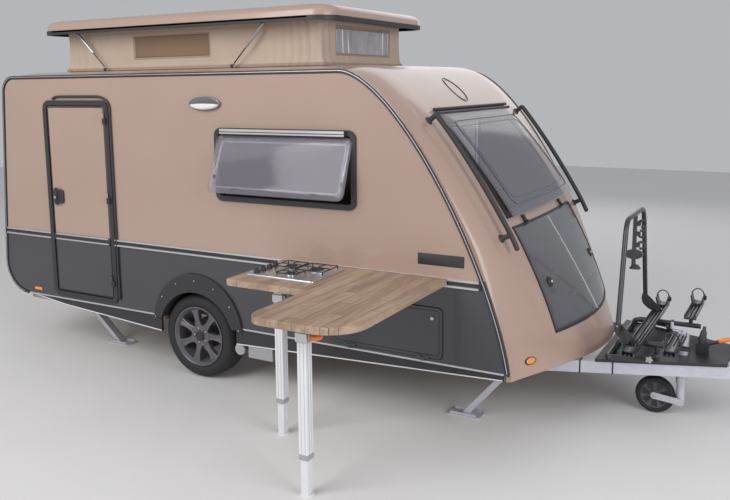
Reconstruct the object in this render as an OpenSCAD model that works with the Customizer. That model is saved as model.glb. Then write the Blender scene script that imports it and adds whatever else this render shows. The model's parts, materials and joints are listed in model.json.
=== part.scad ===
// Pop-top caravan, standing on its jockey wheel and four corner steadies.
// Lengths in millimetres. Every module works with x = 0 at the axle and z = 0 on the ground,
// and placed() moves the result so that the towing ball's centre is the origin.

/* [Body] */
// Outside width of the body
body_w = 2040; // [1960:10:2120]
// Height of the roof's side edge above the ground
roof_z = 2034; // [1980:1:2090]
// Thickness of the walls, roof and front shell
wall_t = 30; // [24:1:34]
// Height of the side walls' lower edge, on the floor
sill_z = 402; // [392:1:412]
// Thickness of the floor
floor_t = 40; // [30:1:45]
// Distance of the rear wall behind the axle, at the floor
rear_x = 1880; // [1840:5:1900]
// Lean of the rear wall from upright, in degrees
rear_lean = 4.4; // [3:0.1:6]
// Radius of the lower rear corner
rear_low_r = 230; // [200:5:250]
// Radius of the upper rear corner
rear_top_r = 120; // [90:5:150]
// Where the roof starts to curve down to the front
nose_start_x = 1130; // [1100:5:1160]
// Foot of the front edge, ahead of the axle
nose_foot_x = 2174; // [2150:2:2190]
// Height of the front shell's lower edge
nose_foot_z = 362; // [355:1:370]
// How far the front shell bulges at its foot
bulge = 270; // [200:5:300]
// Rise of the roof's crown over its side edges
crown_h = 30; // [20:1:35]
// Top of the rail along the side at mid height
belt_z = 900; // [890:1:910]
// Height of that rail
belt_h = 46; // [40:1:50]
// How far that rail stands out
belt_t = 14; // [10:1:18]

/* [Door] */
// Front edge of the door frame, behind the axle
door_front_x = 680; // [670:1:700]
// Width over the door frame
door_w = 650; // [630:5:680]
// Height of the door frame's foot
door_foot_z = 428; // [420:1:440]
// Height over the door frame
door_h = 1434; // [1400:2:1450]
// Width of the frame's face
door_rim = 44; // [36:1:50]
// Gap round the leaf
door_gap = 8; // [7:0.5:10]

/* [Side windows] */
// Rear edge of the frame, ahead of the axle
win_x = 234; // [200:2:260]
// Width over the frame
win_w = 1015; // [960:5:1040]
// Foot of the frame
win_z = 1233; // [1215:1:1250]
// Height over the frame
win_h = 460; // [440:2:480]
// Width of the frame's face
win_rim = 32; // [26:1:38]
// Opening angle of the pane on the door side, in degrees
win_open = 20; // [5:0.5:24]

/* [Pop top] */
// Width of the lid
lid_w = 1440; // [1420:5:1460]
// Rear end of the lid, behind the axle
lid_rear_x = 1682; // [1660:2:1700]
// Front end of the lid, ahead of the axle
lid_front_x = 890; // [880:2:910]
// Height of the lid's lower edge when raised
lid_z = 2345; // [2330:1:2360]
// Height of the lid itself
lid_h = 107; // [95:1:115]
// Width of the tent
tent_w = 1176; // [1150:2:1190]
// Rear end of the tent, behind the axle
tent_rear_x = 1556; // [1530:2:1570]
// Front end of the tent, ahead of the axle
tent_front_x = 762; // [740:2:780]
// Thickness of the tent's cloth as a solid
tent_t = 12; // [8:1:16]
// Sideways place of the gas struts
strut_y = 625; // [615:1:635]

/* [Wheels] */
// Outside diameter of the tyres
tyre_d = 576; // [560:2:590]
// Width of the tyres
tyre_w = 195; // [185:1:200]
// Outer face of the tyres from the middle of the caravan
tyre_face_y = 990; // [980:1:995]
// Diameter over the rim's flange
rim_d = 409; // [400:1:415]
// Number of spokes
spokes = 7; // [5:1:9]
// Radius of the opening in the wheel arch
arch_r = 317; // [312:1:322]
// Number of screws' bosses on each wheel arch
arch_bosses = 7; // [5:1:9]

/* [Chassis] */
// Height of the beams' top
beam_top_z = 362; // [355:1:370]
// Height of the beams
beam_h = 70; // [60:1:76]
// Width of the beams' flanges
beam_w = 46; // [40:1:50]
// Thickness of the beams' steel
steel_t = 5; // [4:0.5:6]
// Outer face of the straight beams from the middle
beam_y = 600; // [590:1:610]
// Where the beams turn towards the coupling
beam_bend_x = 2048; // [2030:2:2060]
// Where the beams end at the coupling
beam_end_x = 3455; // [3440:1:3470]
// Distance between the beams' outer faces at the coupling
beam_end_w = 130; // [124:1:136]
// Centre of the towing ball, ahead of the axle
ball_x = 3600; // [3590:1:3620]
// Height of the towing ball's centre when parked
ball_z = 430; // [425:1:435]

/* [Table] */
// Height of the table's top
table_z = 900; // [895:1:905]
// Thickness of the table's top
table_t = 36; // [30:1:40]
// Reach of the long leaf from the side wall
table_reach = 1115; // [1080:5:1130]
// Reach of the hob's leaf from the side wall
hob_reach = 580; // [560:2:600]
// Side of the table legs
leg_side = 50; // [44:1:54]

/* [Hidden] */

// Facets: true circles above 12, and the curve of the front in straight steps
$fn = 48;
front_steps = 12;
// Clearance of pieces that seat on each other without touching
seat = 0.3;
// Overlap that joins the parts of one solid
weld = 1;
half_w = body_w / 2;
wall_in = half_w - wall_t;
mirrored = [1, -1];

// Flat middle of the roof, either side of the centre line
crown_flat = 700;
// Control points of the side walls' front edge, from the roof down to the foot
nose_p = [
    [nose_start_x, roof_z], [nose_start_x + 352, roof_z],
    [nose_foot_x - 96, nose_foot_z + 634], [nose_foot_x, nose_foot_z]
];
low_c_z = sill_z + rear_low_r;
top_c_z = roof_z - rear_top_r;
roof_top = roof_z + crown_h;
low_c_x = rear_line_x(low_c_z) + rear_low_r / cos(rear_lean);
top_c_x = rear_line_x(top_c_z) + rear_top_r / cos(rear_lean);

// Front openings: heights of their edges, and their half width
front_win_top = 1735;
front_win_low = 1165;
locker_top = 1120;
locker_low = 535;
front_half = 590;
front_rim = 34;
locker_gap = 6;
pane_over = 22;
// Columns of the front and the roof across the body, on one side
skin_half = concat(
    [for (f = [0, 22, 44]) front_half * f / 59],
    [for (f = [0, 0.275, 0.525, 0.725, 0.875, 0.9625, 1]) front_half + f * (wall_in - front_half)]
);
skin_cols = concat([for (i = [len(skin_half) - 1:-1:1]) -skin_half[i]], skin_half);

// Wheel arch: centres and outer radius
arch_x = 22;
arch_z = 287;
flare_x = 32;
flare_z = 356;
flare_r = 375;
flare_t = 14;
arch_foot = 395;
tub_y = 756;
tub_t = 7;
wheel_z = tyre_d / 2;
hub_y = 848;
spindle_d = 56;

// Hatch in the lower right side
hatch_x = 1072;
hatch_w = 719;
hatch_z = 427;
hatch_h = 304;
hatch_gap = 7;
hatch_axis_y = -half_w - 9;
hatch_axis_z = hatch_z + 3;
hatch_hinges = [hatch_x + 110, hatch_x + hatch_w - 136];

// Belt rail ends
rail_rear = -1822;
rail_front = 1994;

// Gas struts: [x of the lid's pin, x of the roof's eye] for the rear and the front pair
strut_rear = [-1365, -1090];
strut_front = [347, 87];
strut_lid_z = lid_z + 5;
strut_roof_z = roof_top + 21;
strut_tube_d = 18;
strut_rod_d = 9;
strut_bore_d = 11;
ceiling_z = lid_z + 20;
ceiling_t = 8;
lid_round = 150;
coaming_h = 6;

// Steadies: [x of the pivot, x of the foot, y]
steady_pivot_z = 312;
steady_front = [2060, 1797, 690];
steady_rear = [-1400, -1028, 670];
steady_w = 60;
steady_pin_d = 16;
foot_l = 210;
foot_w = 120;
foot_t = 8;

// Axle tube, ahead of and below the wheels' centre
axle_x = 140;
axle_tube_z = 244;
axle_d = 92;

// Jockey wheel: place of the tube and of the wheel
jockey_x = 2908;
jockey_y = -117;
jockey_d = 60;
jockey_wheel_x = 2769;
jockey_r = 111;
jockey_wheel_w = 56;
jockey_tube_z = 205;

// Cycle carrier on the drawbar: places of its two trays and its folding frame
tray_x = [2689, 2900];
tray_z = [470, 505];
tray_half = 613;
frame_x = 2598;
frame_z = 558;
frame_half = 428;
frame_top_x = 2590;
frame_top_z = 1170;
frame_top_half = 238;
frame_d = 30;
cover_t = 18;
cover_start = 2484;
cover_end = 3150;

// Table's places
table_x = 735;
long_leaf_x = 1265;
table_end_x = 1812;
table_edge = half_w + belt_t + seat;
leg_places = [[1000, -half_w - 431], [1495, -half_w - 958]];
leg_lower_z = 190;
hob_x = 772;
hob_y = -half_w - 442;
hob_w = 446;
hob_d = 354;

// Moves a piece to the part's own frame, with the towing ball's centre at the origin
module placed() translate([-ball_x, 0, -ball_z]) children();

// A box from its lowest to its highest corner
module block(a, b) translate(a) cube(b - a);

// A round bar from one point to another
module bar(a, b, d, $fn = $fn) {
    v = b - a;
    translate(a) rotate([0, acos(v[2] / norm(v)), atan2(v[1], v[0])]) cylinder(d = d, h = norm(v));
}

// Thickens a profile drawn in x and z, from y0 to y1
module across(y0, y1) translate([0, y1, 0]) rotate([90, 0, 0]) linear_extrude(y1 - y0) children();

// Thickens a profile drawn in y and z, from x0 to x1
module along(x0, x1) translate([x0, 0, 0]) rotate([90, 0, 90]) linear_extrude(x1 - x0) children();

// A rectangle with round corners, from its lower left corner
module round_rect(w, h, r) {
    translate([r, 0]) square([w - 2 * r, h]);
    translate([0, r]) square([w, h - 2 * r]);
    for (x = [r, w - r], y = [r, h - r]) translate([x, y]) circle(r);
}

// The same, with its edges moved in by a distance
module inner_rect(w, h, r, inset) {
    translate([inset, inset]) round_rect(w - 2 * inset, h - 2 * inset, max(r - inset, 4));
}

// Points of an arc
function arc(c, r, a0, a1, n = 8) = [for (i = [0:n]) let (a = a0 + (a1 - a0) * i / n) c + r * [cos(a), sin(a)]];
function reversed(list) = [for (i = [len(list) - 1:-1:0]) list[i]];

// The rear wall's outer line, and its edge from the roof to the floor moved in by an inset
function rear_line_x(z) = -rear_x + (z - sill_z) * tan(rear_lean);
function rear_foot(inset = 0) = arc([low_c_x, low_c_z], rear_low_r - inset, 180 - rear_lean, 270);
function rear_edge(inset = 0) = concat(
    arc([top_c_x, top_c_z], rear_top_r - inset, 90, 180 - rear_lean), rear_foot(inset)
);

// The side walls' front edge: t runs from 0 at the roof to 1 at the foot
function nose_at(t) = pow(1 - t, 3) * nose_p[0] + 3 * t * pow(1 - t, 2) * nose_p[1]
    + 3 * t * t * (1 - t) * nose_p[2] + pow(t, 3) * nose_p[3];
function nose_way(t) = 3 * pow(1 - t, 2) * (nose_p[1] - nose_p[0])
    + 6 * t * (1 - t) * (nose_p[2] - nose_p[1]) + 3 * t * t * (nose_p[3] - nose_p[2]);
function nose(t, off = 0) = let (d = nose_way(t)) nose_at(t) + off * [-d[1], d[0]] / norm(d);
function nose_t(z, a = 0, b = 1, n = 18) = let (m = (a + b) / 2)
    n == 0 ? m : nose_at(m)[1] > z ? nose_t(z, m, b, n - 1) : nose_t(z, a, m, n - 1);

// Outline of a side wall, moved in by an inset
function outline(inset = 0) = concat(
    [for (i = [front_steps * 2:-1:0]) nose(i / front_steps / 2, -inset)],
    rear_edge(inset)
);

// The front's skin: a point at t down the front and y across, moved out by off
function crown(y) = crown_h * (1 - pow(max(0, (abs(y) - crown_flat) / (wall_in - crown_flat)), 2));
function bulge_at(z) = bulge * pow(max(0, (roof_z - z) / (roof_z - nose_foot_z)), 1.7);
function corner_power(z) = max(0.45, 1.3 - 0.0012 * (z - nose_foot_z));
function skin(t, y, off = 0) = let (
    p = nose(t, off + crown(y)),
    z = nose_at(t)[1],
    b = bulge_at(z) * pow(max(0, cos(90 * min(1, abs(y) / wall_in))), corner_power(z))
) [p[0] + b, y, p[1]];

// Rows down the front, with a row at each edge of its openings
edge_rows = [for (z = [front_win_top, front_win_low, locker_top, locker_low]) nose_t(z)];
skin_rows = concat(
    [0, 0.1, 0.2, 0.27], [edge_rows[0], 0.4, 0.48, 0.56, edge_rows[1], edge_rows[2]],
    [0.72, 0.8, 0.87, edge_rows[3], 0.96, 1]
);

// A shell between two offsets of the skin. open holds [t0, t1, y0, y1] of what stays open, and
// flare moves the last row out further than the first.
module skin_shell(rows, cols, off_out, off_in, open = [], flare = 0) {
    nr = len(rows);
    nc = len(cols);
    t_first = rows[0];
    t_span = rows[nr - 1] - t_first;
    function layer(off) = [for (t = rows, y = cols) skin(t, y, off + flare * (t - t_first) / t_span)];
    function hit(t, y) = len([for (o = open) if (t > o[0] && t < o[1] && y > o[2] && y < o[3]) 1]) > 0;
    function cell(i, j) = i >= 0 && j >= 0 && i < nr - 1 && j < nc - 1
        && !hit((rows[i] + rows[i + 1]) / 2, (cols[j] + cols[j + 1]) / 2);
    n = nr * nc;
    faces = [
        for (i = [0:nr - 2], j = [0:nc - 2]) if (cell(i, j))
            let (a = i * nc + j, b = a + nc, c = b + 1, d = a + 1, u = a + n, v = b + n, w = c + n, x = d + n)
            each concat(
                [[a, d, c], [a, c, b], [u, w, x], [u, v, w]],
                cell(i, j - 1) ? [] : [[a, b, v], [a, v, u]],
                cell(i - 1, j) ? [] : [[d, a, u], [d, u, x]],
                cell(i, j + 1) ? [] : [[c, d, x], [c, x, w]],
                cell(i + 1, j) ? [] : [[b, c, w], [b, w, v]]
            )
    ];
    polyhedron(concat(layer(off_out), layer(off_in)), faces);
}

// Places children on the rear wall at a height, with -x pointing out of it
module on_rear(z) translate([rear_line_x(z), 0, z]) rotate([0, rear_lean, 0]) children();

// Half distance between the drawbar beams' outer faces
function beam_out(x) = beam_y - (beam_y - beam_end_w / 2) * (x - beam_bend_x) / (beam_end_x - beam_bend_x);

// One side wall's outline between two heights
module side_profile(low, high) intersection() {
    polygon(outline());
    translate([-rear_x - 50, low]) square([rear_x + nose_foot_x + 100, high - low]);
}

// Outer edge of the door frame, moved in by an inset
module door_shape(inset) translate([-door_front_x - door_w, door_foot_z]) inner_rect(door_w, door_h, 64, inset);
module window_shape(inset) translate([win_x, win_z]) inner_rect(win_w, win_h, 50, inset);
module hatch_shape(inset) translate([hatch_x, hatch_z]) inner_rect(hatch_w, hatch_h, 34, inset);
module arch_shape(r, low = 0) intersection() {
    translate([arch_x, arch_z]) circle(r);
    translate([arch_x - r, low]) square([2 * r, arch_z + r]);
}

// A side wall's upper or lower panel. side is -1 on the door's side.
module side_wall(side, low, high) {
    y0 = side < 0 ? -half_w : wall_in;
    across(y0, y0 + wall_t) difference() {
        side_profile(low, high);
        if (low >= belt_z) window_shape(10);
        if (low < belt_z) arch_shape(arch_r + tub_t + 5);
        if (side < 0) door_shape(20);
        if (side < 0 && low < belt_z) hatch_shape(0);
    }
}
module side_right_upper() placed() color([0.71, 0.61, 0.55]) side_wall(-1, belt_z, roof_z);
module side_right_lower() placed() color([0.25, 0.25, 0.27]) {
    side_wall(-1, sill_z, belt_z);
    for (x = hatch_hinges) {
        block([x, hatch_axis_y - 4, hatch_z - 14], [x + 26, -half_w + weld, hatch_z - 1]);
        block([x, hatch_axis_y - 4, hatch_z - 2], [x + 26, hatch_axis_y + 4, hatch_axis_z]);
        translate([x, hatch_axis_y, hatch_axis_z]) rotate([0, 90, 0]) cylinder(d = 10, h = 26);
    }
}
module side_left_upper() placed() color([0.71, 0.61, 0.55]) side_wall(1, belt_z, roof_z);
module side_left_lower() placed() color([0.25, 0.25, 0.27]) side_wall(1, sill_z, belt_z);

// Floor, cut out over the wheels and following the front shell
module floor() placed() color([0.45, 0.38, 0.3]) {
    front = nose_t(sill_z);
    edge = [for (y = skin_cols) let (p = skin(front, y, -wall_t)) [p[0] - 3, y]];
    translate([0, 0, sill_z - floor_t]) linear_extrude(floor_t) difference() {
        polygon(concat([[low_c_x, wall_in], [low_c_x, -wall_in]], edge));
        for (s = mirrored) translate([arch_x - arch_r + 2, s > 0 ? tub_y - 4 : -half_w])
            square([2 * arch_r - 4, half_w - tub_y + 4]);
    }
}

// Rear wall with its window's and lamps' places
rear_win_w = 1000;
rear_win_h = 420;
rear_win_z = 1450;
module rear_panel() placed() color([0.71, 0.61, 0.55]) difference() {
    across(-wall_in, wall_in) polygon(concat(
        arc([top_c_x, top_c_z], rear_top_r, 180 - rear_lean, 180 - rear_lean, 1), rear_foot(),
        reversed(rear_foot(wall_t)), arc([top_c_x, top_c_z], rear_top_r - wall_t, 180 - rear_lean, 180 - rear_lean, 1)));
    on_rear(rear_win_z) rear_cut(rear_win_w - 20, rear_win_h - 20, 40);
}
module rear_cut(w, h, r) translate([-60, 0, 0]) rotate([90, 0, 90]) linear_extrude(160)
    translate([-w / 2, -h / 2]) round_rect(w, h, r);

// The rounded top of the rear, where the roof's crown runs out: a point at a share of the turn
function rear_top_at(share, y, off) = let (
    a = 90 + (90 - rear_lean) * share,
    r = rear_top_r + off + crown(y) * (1 - share)
) [top_c_x + r * cos(a), y, top_c_z + r * sin(a)];
module rear_top() placed() color([0.78, 0.7, 0.62]) {
    nr = 9;
    nc = len(skin_cols);
    n = nr * nc;
    faces = [for (i = [0:nr - 2], j = [0:nc - 2]) let (a = i * nc + j, b = a + nc, c = b + 1, d = a + 1)
        each concat(
            [[a, c, d], [a, b, c], [a + n, d + n, c + n], [a + n, c + n, b + n]],
            j > 0 ? [] : [[a, b + n, b], [a, a + n, b + n]],
            j < nc - 2 ? [] : [[d, c, c + n], [d, c + n, d + n]],
            i > 0 ? [] : [[a, d, d + n], [a, d + n, a + n]],
            i < nr - 2 ? [] : [[b, c + n, c], [b, b + n, c + n]]
        )];
    points = [for (off = [0, -wall_t], i = [0:nr - 1], y = skin_cols) rear_top_at(i / (nr - 1), y, off)];
    polyhedron(points, faces);
}

// Roof with the opening under the tent and the coaming that the tent stands on
module tent_shape(inset) translate([-tent_rear_x, -tent_w / 2]) inner_rect(
    tent_rear_x + tent_front_x, tent_w, 70, inset);
module roof_panel() placed() color([0.78, 0.7, 0.62]) difference() {
    union() {
        along(top_c_x, nose_start_x) polygon(concat(
            [for (y = skin_cols) [y, roof_z + crown(y)]],
            reversed([for (y = skin_cols) [y, roof_z + crown(y) - wall_t]])));
        translate([0, 0, roof_top - weld]) linear_extrude(coaming_h + weld) tent_shape(-6);
    }
    translate([0, 0, roof_z - 100]) linear_extrude(300) tent_shape(40);
}

// Front shell in one piece, with its window and locker left open
module front_shell() placed() color([0.78, 0.7, 0.62]) skin_shell(skin_rows, skin_cols, 0, -wall_t, [
    [edge_rows[0], edge_rows[1], -front_half, front_half],
    [edge_rows[2], edge_rows[3], -front_half, front_half]
]);

// Black profiles round both sides' edges
module edge_trims() placed() color([0.08, 0.08, 0.09]) for (s = mirrored) {
    y0 = s > 0 ? half_w : -half_w - 6;
    across(y0, y0 + 6) difference() {
        polygon(outline(-5));
        polygon(outline(16));
        translate([low_c_x, sill_z - 60]) square([nose_foot_x - low_c_x - 14, 90]);
        translate([0, 0]) square([nose_foot_x + 100, sill_z]);
    }
}

// Rails at mid height and light strips along the sills
module belt_profile() polygon([
    [0, 0], [belt_t, 0], [belt_t, 10], [belt_t - 8, 13], [belt_t - 8, belt_h - 13],
    [belt_t, belt_h - 10], [belt_t, belt_h], [0, belt_h]
]);
module belt_run(side, x0, x1) {
    translate([0, 0, belt_z - belt_h]) along(x0, x1) mirror([side < 0 ? 1 : 0, 0]) translate([half_w, 0]) belt_profile();
}
module sill_run(side, x0, x1) {
    y0 = side < 0 ? -half_w - 4 : half_w;
    block([x0, y0, sill_z], [x1, y0 + 4, sill_z + 10]);
}
module belt_rails() placed() color([0.8, 0.8, 0.8]) {
    belt_run(-1, rail_rear, -door_front_x - door_w - seat);
    belt_run(-1, -door_front_x + seat, rail_front);
    belt_run(1, rail_rear, rail_front);
    for (s = mirrored) {
        sill_run(s, low_c_x + 10, flare_x - flare_r + 1);
        sill_run(s, flare_x + flare_r - 1, nose_foot_x - 34);
    }
}

// Wheel arches: the flare outside the wall and the tub that closes it inside
module wheel_arches() placed() color([0.16, 0.16, 0.18]) for (s = mirrored) mirror([0, s < 0 ? 1 : 0, 0]) {
    across(half_w, half_w + flare_t) difference() {
        intersection() {
            translate([flare_x, flare_z]) circle(flare_r);
            translate([flare_x - flare_r, arch_foot]) square([2 * flare_r, 2 * flare_r]);
        }
        arch_shape(arch_r);
    }
    across(tub_y, half_w + weld) difference() {
        arch_shape(arch_r + tub_t, arch_foot);
        arch_shape(arch_r);
    }
    across(tub_y - tub_t, tub_y + weld) arch_shape(arch_r + tub_t, sill_z);
    for (i = [0:arch_bosses - 1]) {
        a = 12 + i * 156 / (arch_bosses - 1);
        r = (arch_r + flare_r + 34) / 2;
        translate([(arch_x + flare_x) / 2 + r * cos(a), half_w + flare_t - weld, (arch_z + flare_z) / 2 + r * sin(a)])
            rotate([-90, 0, 0]) cylinder(d = 16, h = 3 + weld);
    }
}

// Skirts below the sills, deeper beside the wheels
module skirts() placed() color([0.16, 0.16, 0.18]) for (s = mirrored) {
    y0 = s > 0 ? wall_in + 2 : -half_w + 8;
    across(y0, y0 + 20) {
        polygon([[low_c_x - 10, sill_z], [arch_x - arch_r - 2, sill_z], [arch_x - arch_r - 2, 289], [-1243, 352]]);
        polygon([[arch_x + arch_r + 6, sill_z], [nose_foot_x - 40, sill_z], [nose_foot_x - 40, 364], [arch_x + arch_r + 6, 292]]);
    }
}

door_axis_x = -door_front_x - door_rim + 4;
door_axis_y = -half_w - 20;
module door_frame() placed() color([0.12, 0.12, 0.13]) {
    across(-half_w - 12, -half_w) difference() {
        door_shape(0);
        door_shape(door_rim - door_gap);
    }
    across(-half_w - weld, -wall_in + 5) difference() {
        door_shape(20 + seat);
        door_shape(door_rim - door_gap);
    }
    for (z = hinge_z) {
        translate([door_axis_x, door_axis_y, z]) cylinder(d = 14, h = 40);
        block([door_axis_x, door_axis_y - 5, z], [door_axis_x + 24, -half_w - 11, z + 40]);
    }
}
hinge_z = [560, 1150, 1700];
module hinge_knuckle(z) {
    translate([door_axis_x, door_axis_y, z + 40.3]) cylinder(d = 14, h = 34);
    block([door_axis_x - 26, door_axis_y - 4, z + 40.3], [door_axis_x, leaf_out + weld, z + 74.3]);
}
leaf_in = -wall_in;
leaf_out = -half_w - 6;
module door_leaf(low, high) across(leaf_out, leaf_in) intersection() {
    door_shape(door_rim);
    translate([-door_front_x - door_w, low]) square([door_w, high - low]);
}
module door_upper() placed() color([0.71, 0.61, 0.55]) {
    door_leaf(belt_z, door_foot_z + door_h);
    for (i = [1, 2]) hinge_knuckle(hinge_z[i]);
    // Handle plate with its grip
    translate([-door_front_x - door_w + 72, leaf_out - 12, 1110]) cube([56, 12 + weld, 125]);
    bar([-door_front_x - door_w + 100, leaf_out - 16, 1130], [-door_front_x - door_w + 100, leaf_out - 16, 1215], 22);
}
module door_lower() placed() color([0.25, 0.25, 0.27]) {
    door_leaf(door_foot_z, belt_z);
    hinge_knuckle(hinge_z[0]);
    x0 = -door_front_x - door_w + door_rim;
    translate([0, 0, belt_z - belt_h]) along(x0, x0 + door_w - 2 * door_rim)
        mirror([1, 0]) translate([-leaf_out - weld, 0]) square([8 + weld, belt_h]);
}

module side_hatch() placed() color([0.25, 0.25, 0.27]) {
    across(-half_w - 6, -half_w + 22) hatch_shape(hatch_gap);
    for (x = hatch_hinges, e = [-26.3, 26.3]) {
        block([x + e, hatch_axis_y - 4, hatch_axis_z], [x + e + 26, -half_w - 5, hatch_axis_z + 14]);
        translate([x + e, hatch_axis_y, hatch_axis_z]) rotate([0, 90, 0]) cylinder(d = 10, h = 26);
    }
    translate([hatch_x + hatch_w - 66, -half_w - 5, hatch_z + hatch_h - 66]) rotate([90, 0, 0]) cylinder(d = 26, h = 6);
}

// Window frames in the sides and the rear, one clamped through each wall
module window_frames() placed() color([0.12, 0.12, 0.13]) {
    for (s = mirrored) mirror([0, s < 0 ? 1 : 0, 0]) {
        across(half_w, half_w + 12) difference() {
            window_shape(0);
            window_shape(win_rim);
        }
        across(wall_in - 4, half_w + weld) difference() {
            window_shape(10 + seat);
            window_shape(win_rim);
        }
        // Hinge rail over the pane
        block([win_x + 60, half_w + 11, pane_top + (s < 0 ? 3.8 : seat)], [win_x + win_w - 60, half_w + 35, win_z + win_h - 4]);
    }
    on_rear(rear_win_z) difference() {
        union() {
            rear_ring(-12, -seat / 2, rear_win_w, rear_win_h, 50);
            rear_ring(-weld, wall_t, rear_win_w - 20 - 2 * seat, rear_win_h - 20 - 2 * seat, 40);
        }
        rear_cut(rear_win_w - 2 * win_rim, rear_win_h - 2 * win_rim, 26);
    }
}
module rear_ring(x0, x1, w, h, r) along(x0, x1) translate([-w / 2, -h / 2]) round_rect(w, h, r);

// Hinged panes: the one on the door's side stands open
pane_t = 20;
pane_h = 372;
pane_top = win_z + win_h - 42;
module side_pane(side, angle) translate([win_x + 21, side * (half_w + 12 + seat + pane_t / 2), pane_top]) rotate([side * angle, 0, 0])
    rotate([90, 0, 0]) translate([0, -pane_h, -pane_t / 2]) linear_extrude(pane_t) round_rect(win_w - 42, pane_h, 40);
module window_panes() placed() color([0.5, 0.5, 0.55, 0.5]) {
    side_pane(-1, win_open);
    side_pane(1, 0);
    on_rear(rear_win_z) rear_ring(-12 - pane_t, -12 - seat, rear_win_w - 40, rear_win_h - 40, 40);
}
module front_window() placed() color([0.12, 0.12, 0.13]) {
    low = edge_rows[1] - 0.0003;
    top = edge_rows[0] + 0.0003;
    rows = [top, nose_t(front_win_top - front_rim), 0.4, 0.48, 0.56, nose_t(front_win_low + front_rim), low];
    in = front_half - front_rim;
    mid = [skin_half[1], skin_half[2]];
    cols = [-front_half + seat, -in, -mid[1], -mid[0], 0, mid[0], mid[1], in, front_half - seat];
    skin_shell(rows, cols, 8, -wall_t + 4, [[rows[1], rows[5], -in, in]]);
}
module front_pane() placed() color([0.5, 0.5, 0.55, 0.5]) {
    rows = [edge_rows[0] - 0.004, 0.4, 0.48, 0.56, edge_rows[1] + 0.002];
    cols = [-front_half - pane_over, -500, -400, -220, 0, 220, 400, 500, front_half + pane_over];
    skin_shell(rows, cols, 30, 8.3, [], 40);
}
module locker_lid() placed() color([0.4, 0.4, 0.43]) {
    rows = [nose_t(locker_top - locker_gap), 0.72, 0.8, 0.87, nose_t(locker_low + locker_gap)];
    edge = front_half - locker_gap;
    cols = [-edge, -500, -440, -330, -220, -110, 0, 110, 220, 330, 440, 500, edge];
    skin_shell(rows, cols, 6, -wall_t + 8);
    for (y = locker_lugs, e = [-31, 31]) difference() {
        union() {
            translate([locker_axis[0], y + e, locker_axis[1]]) rotate([90, 0, 0]) cylinder(d = 12, h = 30, center = true);
            a = skin(nose_t(locker_top - 10), y + e, 2);
            b = skin(nose_t(locker_top - 25), y + e, 2);
            c = skin(nose_t(locker_top - 25), y + e, 12);
            across(y + e - 15, y + e + 15) polygon([
                [a[0], a[2]], [b[0], b[2]], [c[0], c[2]], locker_axis + [4, -3], locker_axis + [-4, -3]]);
        }
        translate([locker_axis[0], y + e, locker_axis[1]]) rotate([90, 0, 0]) cylinder(d = locker_pin_d + 2 * seat, h = 34, center = true);
    }
}
// Its hinge: where the axis runs, and where the lugs stand
locker_axis = let (p = skin(nose_t(locker_top - locker_gap), 380, 6)) [p[0] + 8, p[2] + 3];
locker_lugs = [-380, 380];
locker_pin_d = 6;
module locker_hinges() placed() color([0.15, 0.15, 0.16]) for (y = locker_lugs) {
    skin_shell([nose_t(1158), nose_t(1140), nose_t(1124)], [y - 15, y, y + 15], 14, 0.4);
    translate([locker_axis[0], y, locker_axis[1]]) {
        rotate([90, 0, 0]) cylinder(d = 12, h = 30, center = true);
        rotate([90, 0, 0]) cylinder(d = locker_pin_d, h = 92, center = true);
        translate([-14, -15, 0]) cube([18, 30, 14]);
    }
}

module rear_lamps() placed() color([0.6, 0.1, 0.1]) {
    for (s = mirrored) on_rear(700) translate([-34, s * (half_w - 140) - 55, -210]) cube([34 - seat, 110, 420]);
    on_rear(1890) translate([-22, -160, -14]) cube([22 - seat, 320, 28]);
}
module side_lamps() placed() color([0.9, 0.6, 0.2]) {
    lamp_w = 249;
    lamp_h = 91;
    across(-half_w - 14, -half_w) translate([42, 1795]) round_rect(lamp_w, lamp_h, lamp_h / 2 - 0.5);
    across(-half_w - 40, -half_w - 13) translate([64, 1812]) round_rect(lamp_w - 44, lamp_h - 34, (lamp_h - 34) / 2 - 0.5);
    for (s = mirrored) {
        y0 = s > 0 ? half_w : -half_w - 9;
        block([-1555, y0, 440], [-1475, y0 + 9, 462]);
    }
}

// Marker lamps low on the front's corners
module front_markers() placed() color([0.9, 0.6, 0.2]) for (s = mirrored)
    skin_shell([nose_t(462), nose_t(440), nose_t(420)], s > 0 ? [800, 840, 880] : [-880, -840, -800], 10, 0.4);

// Grab rails either side of the front window, on two posts each
module grab_rails() placed() color([0.14, 0.14, 0.15]) for (s = mirrored) {
    y = s * 772;
    ts = [for (z = [1724, 1640, 1480, 1300, 1082, 1005]) nose_t(z)];
    pts = [for (t = ts) skin(t, y, 60)];
    for (i = [0:len(pts) - 2]) {
        u = (pts[i + 1] - pts[i]) / norm(pts[i + 1] - pts[i]);
        bar(pts[i] - 2 * u, pts[i + 1] + 2 * u, 30, $fn = 12);
    }
    for (t = [ts[0], ts[4]]) bar(skin(t, y, 0.2), skin(t, y, 60), 34, $fn = 12);
}

module tent() placed() color([0.8, 0.72, 0.62]) translate([0, 0, roof_top + coaming_h + seat])
    linear_extrude(ceiling_z - roof_top - coaming_h - 2 * seat) difference() {
        tent_shape(0);
        tent_shape(tent_t);
    }

// The lid's outline, moved in by an inset
module lid_shape(inset) translate([-lid_rear_x + inset, -lid_w / 2 + inset])
    round_rect(lid_rear_x + lid_front_x - 2 * inset, lid_w - 2 * inset, lid_round - min(inset, 60), $fn = 32);
// Its shape, as [height above the ceiling, inset] from the bottom up
lid_form = [[0, 0], [40, 5], [62, 34], [lid_h - ceiling_t - 20, 110]];
module lid_solid(wall) hull() for (f = lid_form) {
    h = f[0] - (f[0] > 0 ? wall : 0);
    translate([0, 0, ceiling_z + ceiling_t + h]) linear_extrude(0.02) lid_shape(f[1] + wall);
}
module lid_shell() placed() color([0.78, 0.7, 0.62]) difference() {
    lid_solid(0);
    translate([0, 0, -0.5]) lid_solid(24);
}
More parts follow.
